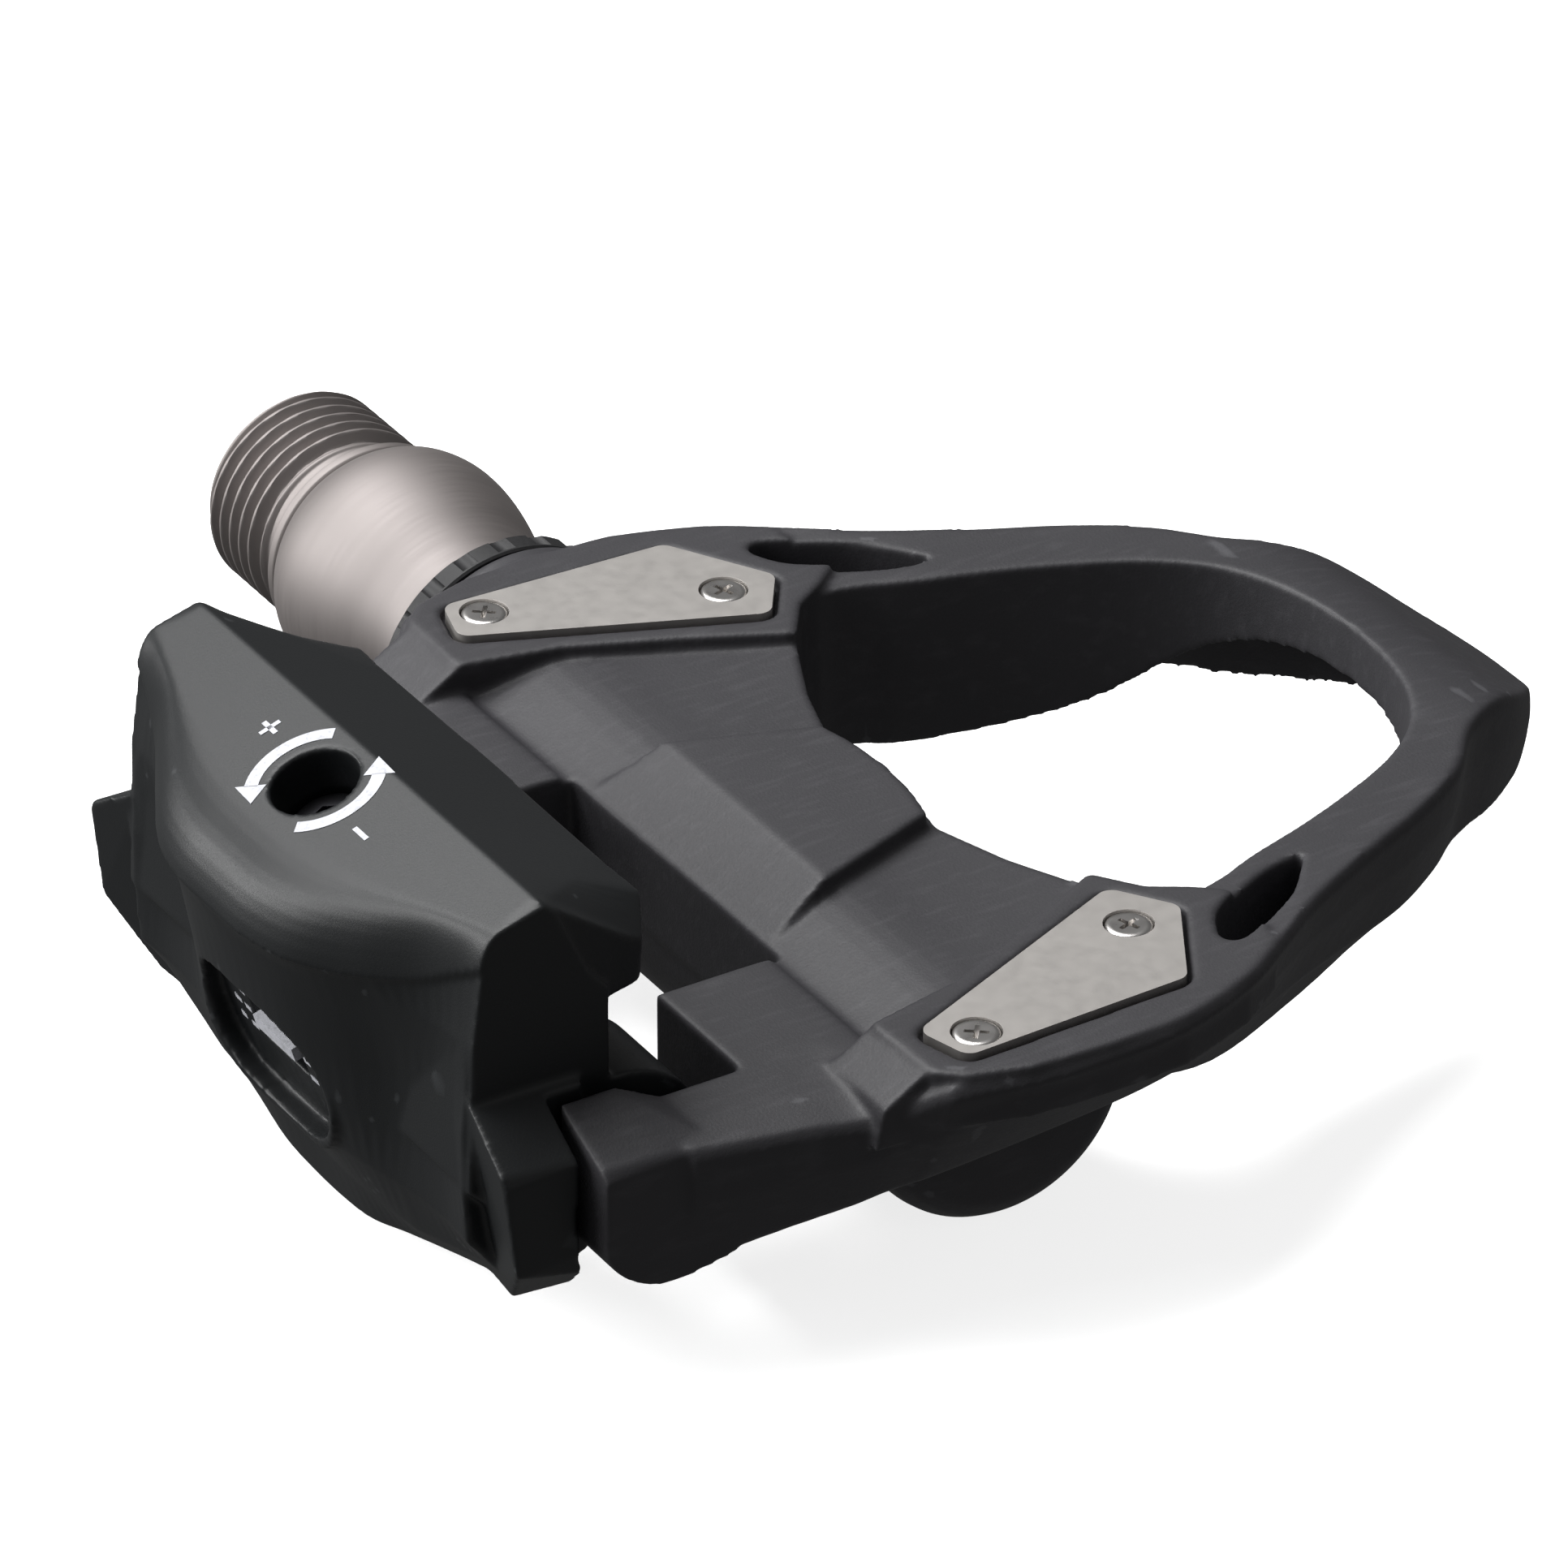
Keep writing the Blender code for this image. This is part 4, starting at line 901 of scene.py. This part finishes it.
# |y|, then the front edge (X, Z), the band's lower end (X, Z), the lip's underside (X, Z)
LIP_LINE = (
    (0.0, -22.6, 9.05, -24.0, 9.65, -22.8, 4.4), (13.4, -22.8, 9.1, -24.0, 9.6, -22.8, 4.4),
    (17.0, -22.15, 8.5, -26.9, 10.8, -22.5, 4.4), (20.0, -23.8, 7.0, -30.4, 12.2, -24.0, 4.3),
    (21.0, -30.4, 11.9, -31.2, 12.6, -27.2, 4.5), (21.3, -30.6, 11.6, -31.2, 12.3, -27.4, 4.6),
)
RIM_CURVE = curved(RIM_LINE, 6)
RIDGE_X = -31.4
RIDGE_Z = 12.8
HOOD_SLOPE = math.tan(math.radians(18.6))


def at_width(line, y):
    """The row of the line at one |y|, without its first number."""
    places = [row[0] for row in line]
    return [float(np.interp(abs(y), places, column)) for column in list(zip(*line))[1:]]


def hood_section(y):
    """The hood cut across at one Y: lip, front band, ridge, back slope and rounded rim."""
    away = abs(y)
    top_x, crease_x, crease_z = at_width(RIM_CURVE, y)
    lip = at_width(LIP_LINE, y)
    top_z = RIDGE_Z + (top_x - RIDGE_X) * HOOD_SLOPE
    turn_x = crease_x + 0.4
    turn_z = max(crease_z + 0.5, RIDGE_Z + (turn_x - RIDGE_X) * HOOD_SLOPE)
    line = [(lip[4], lip[5]), (lip[0], lip[1]), (lip[2], lip[3])]
    line += [(RIDGE_X, RIDGE_Z - 0.25 * max(0.0, away - 20.4))]
    for step in range(9):
        t = step / 8
        near = (1 - t) ** 2
        middle = 2 * t * (1 - t)
        far = t * t
        line.append(
            (near * top_x + middle * turn_x + far * crease_x,
             near * top_z + middle * turn_z + far * crease_z)
        )
    line += [(crease_x + 1.6, crease_z - 0.8), (-31.0, 4.0)]
    return [(x, y, z) for x, z in line]


def hood():
    spots = sorted({row[0] for row in RIM_CURVE} | {13.4, 20.4})
    spots = [-y for y in reversed(spots[1:])] + spots
    return loft("claw_hood", [hood_section(y) for y in spots])


# Y, then how far the hollow's back is drawn in there
HOLLOW_RIBS = ((-13.5, 3.0), (-10.0, 1.2), (-5.5, 0.0), (5.5, 0.0), (10.0, 1.2), (13.5, 3.0))
HOLLOW_BACK_X = -30.5
CHEEK_R = 5.9
ARM_ROOM_R = 5.75
PIN_WAY_R = 2.14


def back_wall():
    """The wall below the hood, bulging at its middle down to a rounded foot."""
    ribs = curved([(-r[0],) + r[1:] for r in reversed(BACK_RIBS[1:])] + list(BACK_RIBS), 4)
    sections = []
    for rib in ribs:
        y = rib[0]
        foot = rib[7]
        crease_x, crease_z = at_width(RIM_CURVE, y)[1:]
        line = [(-30.6, 9.4), (crease_x + 1.8, crease_z + 0.2), (crease_x + 0.3, crease_z - 0.05)]
        line += list(zip(rib[1:6], BACK_LEVELS))
        low_x = rib[6]
        line += [(low_x, max(-14.0, foot + 2.2)), (low_x + 1.1, foot + 0.8), (low_x + 2.4, foot)]
        line += [(-30.4, foot + 0.2), (-28.6, foot + 1.6), (-27.6, -11.0), (-28.0, 2.0)]
        sections.append([(x, y, z) for x, z in line])
    return loft("back_wall", sections)


LUG_POINTS = (
    (-36.6, 19.6, 1.2), (-37.1, 25.6, -2.4), (-36.9, 26.0, -3.2), (-36.3, 26.0, -9.6),
    (-34.4, 22.0, -13.8), (-33.4, 17.0, -14.6), (-28.5, 25.6, -11.6), (-29.0, 26.0, -9.0),
    (-29.4, 26.0, -2.8), (-29.2, 20.2, 0.8), (-29.0, 18.0, -12.6), (-30.0, 18.0, 0.8),
)


def cheeks_and_lugs(claw):
    """Side walls that turn on the pin, and the lugs that stand out behind the arms."""
    cheek = [(-35.7, 9.1), (-36.4, 4.0), (-36.8, -6.0), (-31.0, -12.0)]
    cheek += arc((PIN_X, PIN_Z), CHEEK_R, -110, 96, 36)
    cheek += [(-26.9, 5.5), (-31.0, 9.5)]
    for side in (1, -1):
        low, high = sorted((side * 12.5, side * 21.3))
        join(claw, side_prism("cheek", cheek, low, high))
        join(claw, hull("lug", [(x, side * y, z) for x, y, z in LUG_POINTS]))


def claw_hollow(claw):
    """Open inside for the springs and the nut, with room at each side for the arms."""
    cavity = [
        (-18.0, 4.9), (-23.8, 5.2), (-31.2, 9.6), (-37.6, 7.4), (-39.8, 5.2), (-38.9, 0.2),
        (-36.9, -6.2), (-34.1, -12.0), (-31.6, -16.6), (-30.9, -22.0), (-18.0, -22.0),
    ]
    sections = []
    for y, squeeze in HOLLOW_RIBS:
        sections.append([(x + squeeze if x < HOLLOW_BACK_X else x, y, z) for x, z in cavity])
    cut(claw, loft("hollow", sections))
    room = [(-10.0, 3.5), (-31.9, 3.5), (-31.9, -9.6), (-30.8, -14.6), (-29.0, -20.0)]
    room += [(-10.0, -20.0)]
    for side in (1, -1):
        low, high = sorted((side * 21.9, side * 32.0))
        cut(claw, turned("arm_room", disc(low, high, ARM_ROOM_R), (PIN_X, 0.0, PIN_Z)))
        cut(claw, side_prism("arm_side", room, low, high))


def oval(half_wide, half_high, centre_z, power, steps=40):
    """(Y, Z) points of an oval; a power below 1 squares it a little."""
    found = []
    for k in range(steps):
        angle = 2.0 * math.pi * k / steps
        c = math.cos(angle)
        s = math.sin(angle)
        y = half_wide * math.copysign(abs(c) ** power, c)
        found.append((y, centre_z + half_high * math.copysign(abs(s) ** power, s)))
    return found


def wall_x(y, z):
    """Where the back wall's surface lies."""
    away = [rib[0] for rib in BACK_RIBS]
    levels = BACK_LEVELS[::-1]
    along = [np.interp(z, levels, rib[1:7][::-1]) for rib in BACK_RIBS]
    return float(np.interp(abs(y), away, along))


WINDOW_Z = -6.3
WINDOW_POWER = 0.85
SLOT_HALF_Y = 2.9


def scale_window(claw):
    """Oval recess in the back wall, lipped below, with a slot where the pointer shows."""
    rim = oval(8.1, 5.9, WINDOW_Z, WINDOW_POWER)
    boss = []
    for y, z in rim:
        proud = 0.55 * min(1.0, max(-0.6, (WINDOW_Z + 1.5 - z) / 3.0))
        boss.append((wall_x(y, z) - proud, y, z))
    root = [(wall_x(y, z) + 1.0, y, z) for y, z in rim]
    join(claw, loft("window_lip", [root, boss]))
    inner = oval(7.4, 5.2, WINDOW_Z, WINDOW_POWER)
    deep = [(wall_x(y, z) + 1.3, y, z) for y, z in inner]
    front = [(wall_x(y, z) - 3.0, y, z) for y, z in inner]
    cut(claw, loft("recess", [deep, front]))
    corners = [(-SLOT_HALF_Y, -7.4), (SLOT_HALF_Y, -7.4), (SLOT_HALF_Y, -2.4), (-SLOT_HALF_Y, -2.4)]
    slot = rounded(corners, 0.5)
    cut(claw, loft("slot", [[(x, y, z) for y, z in slot] for x in (-46.0, -33.0)]))


def make_claw(finish):
    claw = hood()
    join(claw, back_wall())
    cheeks_and_lugs(claw)
    claw_hollow(claw)
    join(claw, bolt_turned("boss", disc(1.2, 7.6, 4.3)))
    seat = ((-3.0, 0.0), (-3.0, 2.85), (5.7, 2.85), (5.7, 2.15), (9.5, 2.15), (9.5, 0.0))
    cut(claw, bolt_turned("bolt_seat", seat))
    scale_window(claw)
    cut(claw, turned("pin_way", disc(-30.0, 30.0, PIN_WAY_R), (PIN_X, 0.0, PIN_Z)))
    moulded(claw, 0.19, 5, MOST_TRIANGLES)
    claw.name = "rear_claw_moulding"
    return place(claw, "rear_claw", finish, "claw_plastic", "claw")


ARROW_R = 4.15
ARROW_HALF_WIDTH = 0.45
ARROW_ARCS = ((42.0, 138.0), (222.0, 318.0))
HEAD_INNER_R = 3.15
HEAD_OUTER_R = 5.2
# Centre of each sign on the slope, then its bars' half sizes: a plus inboard, a minus outboard
SIGNS = (
    ((0.6, 6.6), ((0.17, 0.75), (0.75, 0.17))),
    ((-0.6, -6.6), ((0.17, 0.75),)),
)
TICK_LEVELS = (-4.3, -5.7, -7.1)
TICK_HALF = 0.2
TICK_INNER_Y = 3.3
TICK_OUTER_Y = 5.5


def ribbon(points, half_width):
    """Left and right edges of a flat stroke through (ahead, across) points."""
    left = []
    right = []
    for i, point in enumerate(points):
        before = Vector(points[max(i - 1, 0)])
        after = Vector(points[min(i + 1, len(points) - 1)])
        along = (after - before).normalized()
        aside = Vector((-along.y, along.x))
        left.append(Vector(point) + aside * half_width)
        right.append(Vector(point) - aside * half_width)
    return left + right[::-1]


def printed(name, outline, spot, low=-0.08, high=0.04):
    """A thin printed shape. spot turns its (u, v) points and a height into a place."""
    rows = [[spot(u, v, height) for u, v in outline] for height in (low, high)]
    return loft(name, rows)


def on_hood(u, v, height):
    """A place on the hood's back slope: u mm up the slope and v mm inboard of the bolt."""
    tilt = math.atan(HOOD_SLOPE)
    spot = Vector((-35.0, v, RIDGE_Z + (-35.0 - RIDGE_X) * HOOD_SLOPE))
    spot += Vector((math.cos(tilt), 0.0, math.sin(tilt))) * u
    return spot + Vector((-math.sin(tilt), 0.0, math.cos(tilt))) * height


def make_marks(ink, claw):
    """Turning arrows with plus and minus signs round the bolt, and the scale's ticks."""
    parts = []
    for start, end in ARROW_ARCS:
        middle = arc((0.0, 0.0), ARROW_R, start, end, 24)
        parts.append(printed("arrow_shaft", ribbon(middle, ARROW_HALF_WIDTH), on_hood))
        tip_angle = math.radians(end + 22.0)
        foot = math.radians(end - 1.0)
        tip = (ARROW_R * math.cos(tip_angle), ARROW_R * math.sin(tip_angle))
        outer = (HEAD_OUTER_R * math.cos(foot), HEAD_OUTER_R * math.sin(foot))
        inner = (HEAD_INNER_R * math.cos(foot), HEAD_INNER_R * math.sin(foot))
        parts.append(printed("arrow_head", [tip, inner, outer], on_hood))
    for (u, v), bars in SIGNS:
        for half_u, half_v in bars:
            outline = [(u - half_u, v - half_v), (u + half_u, v - half_v)]
            outline += [(u + half_u, v + half_v), (u - half_u, v + half_v)]
            parts.append(printed("sign", outline, on_hood))

    def on_scale(v, z, height):
        """A place on the window's floor, found by looking forward from behind the claw."""
        start = (Vector((-60.0, v, z)) + SHIFT) * MM
        hit = claw.ray_cast(start, AHEAD)[1]
        return hit / MM - SHIFT - AHEAD * height

    for side in (1, -1):
        for z in TICK_LEVELS:
            near = side * TICK_INNER_Y
            far = side * TICK_OUTER_Y
            outline = [(near, z - TICK_HALF), (far, z - TICK_HALF)]
            outline += [(far, z + TICK_HALF), (near, z + TICK_HALF)]
            parts.append(printed("tick", outline, on_scale, -0.12, 0.05))
    marks = parts[0]
    marks.name = "printed_marks"
    for part in parts[1:]:
        merge(marks, part)
    return place(marks, "rear_claw", ink, "claw_plastic")


def merge(target, other):
    """Adds the other mesh to the target as loose islands."""
    both = bmesh.new()
    both.from_mesh(target.data)
    both.from_mesh(other.data)
    both.to_mesh(target.data)
    both.free()
    bpy.data.objects.remove(other, do_unlink=True)


KEY_FLATS = 2.5
LEAF_AHEAD = -6.2
STRIPE_HALF_Y = 2.4
STRIPE_DEPTHS = (15.0, 16.0)
COIL_R = 3.2
COIL_Y = 11.5
COIL_LENGTH = 8.1
COIL_TURNS = 4.5
STEPS_PER_TURN = 36
WIRE_R = 0.88


def make_bolt(finish):
    profile = (
        (3.0, 0.0), (3.0, 2.3), (3.1, 2.5), (3.3, 2.6), (5.4, 2.6), (5.4, 1.95),
        (15.9, 1.95), (16.3, 1.65), (16.3, 0.0),
    )
    bolt = bolt_turned("socket_head_bolt", profile)
    corner = KEY_FLATS / math.sqrt(3.0)
    angles = [math.radians(60 * k + 14) for k in range(6)]
    rows = []
    for depth in (4.8, 1.0):
        rows.append([bolt_point(depth, corner * math.cos(a), corner * math.sin(a)) for a in angles])
    cut(bolt, loft("key", rows))
    smooth_by_angle(bolt, 30.0)
    return place(bolt, "bolt", finish, "dark_steel", "tension_bolt")


def make_nut(finish, ink):
    """Tension nut, with a leaf that hangs behind the scale's slot and carries the pointer."""
    corners = []
    for depth in (9.2, 12.8):
        for ahead in (-3.4, 3.2):
            corners += [bolt_point(depth, ahead, across) for across in (-4.6, 4.6)]
    nut = hull("pointer_nut", corners)
    bridge = []
    leaf = []
    for across in (-2.6, 2.6):
        for depth in (9.9, 12.0):
            bridge += [bolt_point(depth, LEAF_AHEAD, across), bolt_point(depth, -3.0, across)]
        for depth in (9.9, 18.0):
            leaf += [bolt_point(depth, LEAF_AHEAD, across), bolt_point(depth, -5.4, across)]
    join(nut, hull("bridge", bridge), hull("leaf", leaf))
    cut(nut, bolt_turned("nut_hole", disc(7.0, 16.0, 2.07)))
    soft_edges(nut, 0.15, 30.0, 2)
    place(nut, "nut", finish, "sleeve_plastic", "tension_nut")

    def on_leaf(v, depth, height):
        return bolt_point(depth, LEAF_AHEAD - height, v)

    near, far = STRIPE_DEPTHS
    outline = [(-STRIPE_HALF_Y, near), (STRIPE_HALF_Y, near)]
    outline += [(STRIPE_HALF_Y, far), (-STRIPE_HALF_Y, far)]
    stripe = printed("pointer_stripe", outline, on_leaf, -0.08, 2.0)
    place(stripe, "nut", ink, "sleeve_plastic")


def swept(name, path, radius, steps=14):
    """A round wire along a path, which must not run along Y."""
    rows = []
    for i, point in enumerate(path):
        before = path[max(i - 1, 0)]
        after = path[min(i + 1, len(path) - 1)]
        along = (after - before).normalized()
        sideways = INBOARD.cross(along).normalized()
        upward = along.cross(sideways)
        rows.append(
            [
                point + (sideways * math.cos(2 * math.pi * k / steps)
                         + upward * math.sin(2 * math.pi * k / steps)) * radius
                for k in range(steps)
            ]
        )
    return loft(name, rows)


def make_springs(finish):
    """Two torsion springs on the pin, with their front legs in the body's bay."""
    path = [(-10.6, COIL_Y, PIN_Z - COIL_R), (-18.0, COIL_Y, PIN_Z - COIL_R)]
    steps = int(COIL_TURNS * STEPS_PER_TURN)
    for i in range(steps + 1):
        angle = math.radians(-90.0 - 360.0 / STEPS_PER_TURN * i)
        y = COIL_Y - COIL_LENGTH * i / steps
        path.append((PIN_X + COIL_R * math.cos(angle), y, PIN_Z + COIL_R * math.sin(angle)))
    path.append((-31.4, 3.4, PIN_Z + COIL_R))
    for name, side in (("left", 1), ("right", -1)):
        line = [Vector((x, side * y, z)) for x, y, z in path]
        spring = swept(f"coil_spring_{name}", line, WIRE_R)
        smooth_by_angle(spring, 40.0)
        place(spring, "body", finish, "spring_steel", f"torsion_spring_{name}")


def dress_kept_nodes(finishes):
    """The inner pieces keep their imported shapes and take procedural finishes."""
    for node, finish in finishes.items():
        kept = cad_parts[node]
        kept.data.materials.clear()
        kept.data.materials.append(finish)


# ------------------------------------------------------------------- studio

FLOOR_HALF = 1.6
FLOOR_GLOW = 0.80
WORLD_STRENGTH = 0.12
WHITE = (1.0, 1.0, 1.0, 1.0)
# Name, position, target, side (metres), then watts
SOFTBOXES = (
    ("key_above", (-0.12, 0.28, 0.62), (0.0, 0.02, 0.0), 0.50, 5.4),
    ("rim_left", (-0.60, 0.25, 0.36), (-0.02, 0.0, 0.0), 0.45, 3.2),
    ("edge_low", (-0.55, 0.55, 0.14), (-0.03, 0.0, 0.0), 0.25, 1.6),
    ("fill_front", (0.30, -0.75, 0.55), (0.0, 0.0, 0.0), 0.70, 0.2),
)
CAMERA_SPOT = Vector((-317.7, -516.0, 365.0))
CAMERA_AZIMUTH = math.radians(-31.49)
CAMERA_ELEVATION = math.radians(31.04)
CAMERA_LENS = 259.4


def studio():
    """A glowing white floor that lights nothing itself, a dim world and four softboxes."""
    floor_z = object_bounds()[0][2]
    half = FLOOR_HALF
    mesh = bpy.data.meshes.new("floor")
    corners = [(-half, -half), (half, -half), (half, half), (-half, half)]
    mesh.from_pydata([(x, y, floor_z) for x, y in corners], [], [(0, 1, 2, 3)])
    floor = bpy.data.objects.new("floor", mesh)
    bpy.context.scene.collection.objects.link(floor)
    paper = Finish("floor_paper", 0.9)
    paper.colour(paper.mix(paper.noise(30.0, 2.0), (0.86, 0.86, 0.86), (0.88, 0.88, 0.88)))
    paper.shader.inputs["Emission Color"].default_value = WHITE
    paper.shader.inputs["Emission Strength"].default_value = FLOOR_GLOW
    floor.data.materials.append(paper.material)
    floor.visible_diffuse = False
    floor.visible_glossy = False
    floor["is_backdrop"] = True
    world = bpy.data.worlds.new("studio")
    bpy.context.scene.world = world
    world.use_nodes = True
    background = world.node_tree.nodes["Background"]
    background.inputs["Color"].default_value = WHITE
    background.inputs["Strength"].default_value = WORLD_STRENGTH
    for row in SOFTBOXES:
        softbox(*row)


def softbox(name, position, target, side, watts):
    data = bpy.data.lights.new(name, "AREA")
    data.shape = "SQUARE"
    data.size = side
    data.energy = watts
    lamp = bpy.data.objects.new(name, data)
    bpy.context.scene.collection.objects.link(lamp)
    lamp.location = position
    back = Vector(position) - Vector(target)
    lamp.rotation_euler = (-back).to_track_quat("-Z", "Y").to_euler()


def camera():
    """Long lens, low on the outboard rear quarter."""
    level = math.cos(CAMERA_ELEVATION)
    ahead = math.sin(CAMERA_AZIMUTH) * level
    back = Vector((ahead, -math.cos(CAMERA_AZIMUTH) * level, math.sin(CAMERA_ELEVATION)))
    data = bpy.data.cameras.new("studio_camera")
    data.lens = CAMERA_LENS
    data.sensor_width = 36.0
    made = bpy.data.objects.new("studio_camera", data)
    bpy.context.scene.collection.objects.link(made)
    made.location = (CAMERA_SPOT + SHIFT) * MM
    made.rotation_euler = (-back).to_track_quat("-Z", "Y").to_euler()
    bpy.context.scene.camera = made


def main():
    composite = fibre_composite()
    claw_look = claw_plastic()
    plate_look = satin_steel("plate_satin", (0.50, 0.48, 0.46), 0.52, 900.0, (1.0, 1.0, 1.0))
    turned_look = satin_steel("turned_satin", (0.33, 0.303, 0.295), 0.60, 160.0, (1.0, 26.0, 1.0))
    screw_look = satin_steel("screw_bright", (0.72, 0.70, 0.68), 0.26, 900.0, (1.0, 1.0, 1.0))
    ground = satin_steel("ground_steel", (0.62, 0.62, 0.63), 0.18, 500.0, (1.0, 6.0, 1.0))
    black_steel = satin_steel("black_steel", (0.10, 0.10, 0.11), 0.38, 1200.0, (1.0, 1.0, 1.0))
    wire = satin_steel("spring_wire", (0.30, 0.30, 0.31), 0.30, 900.0, (1.0, 3.0, 1.0))
    black_plastic = plain_moulding("black_moulding", (0.012, 0.012, 0.013), 0.5)
    rubber = plain_moulding("lip_rubber", (0.010, 0.010, 0.010), 0.72)
    ink = mark_paint()

    make_body(composite)
    make_plates(plate_look)
    make_screws(screw_look)
    make_spindle(turned_look)
    make_lock_bolt(black_plastic, rubber)
    claw = make_claw(claw_look)
    make_marks(ink, claw)
    make_bolt(black_steel)
    make_nut(black_plastic, ink)
    make_springs(wire)
    dress_kept_nodes(
        {
            "bearing_sleeve": black_plastic,
            "bearing_cup_inboard": ground,
            "bearing_cup_outboard": ground,
            "bearing_cone": black_steel,
            "lock_nut": black_steel,
            "ball_ring_inboard": ground,
            "ball_ring_outboard": ground,
            "spring_plate": black_steel,
            "pivot_pin": ground,
        }
    )
    studio()
    camera()


main()
bpy.context.scene.view_settings.view_transform = "Standard"
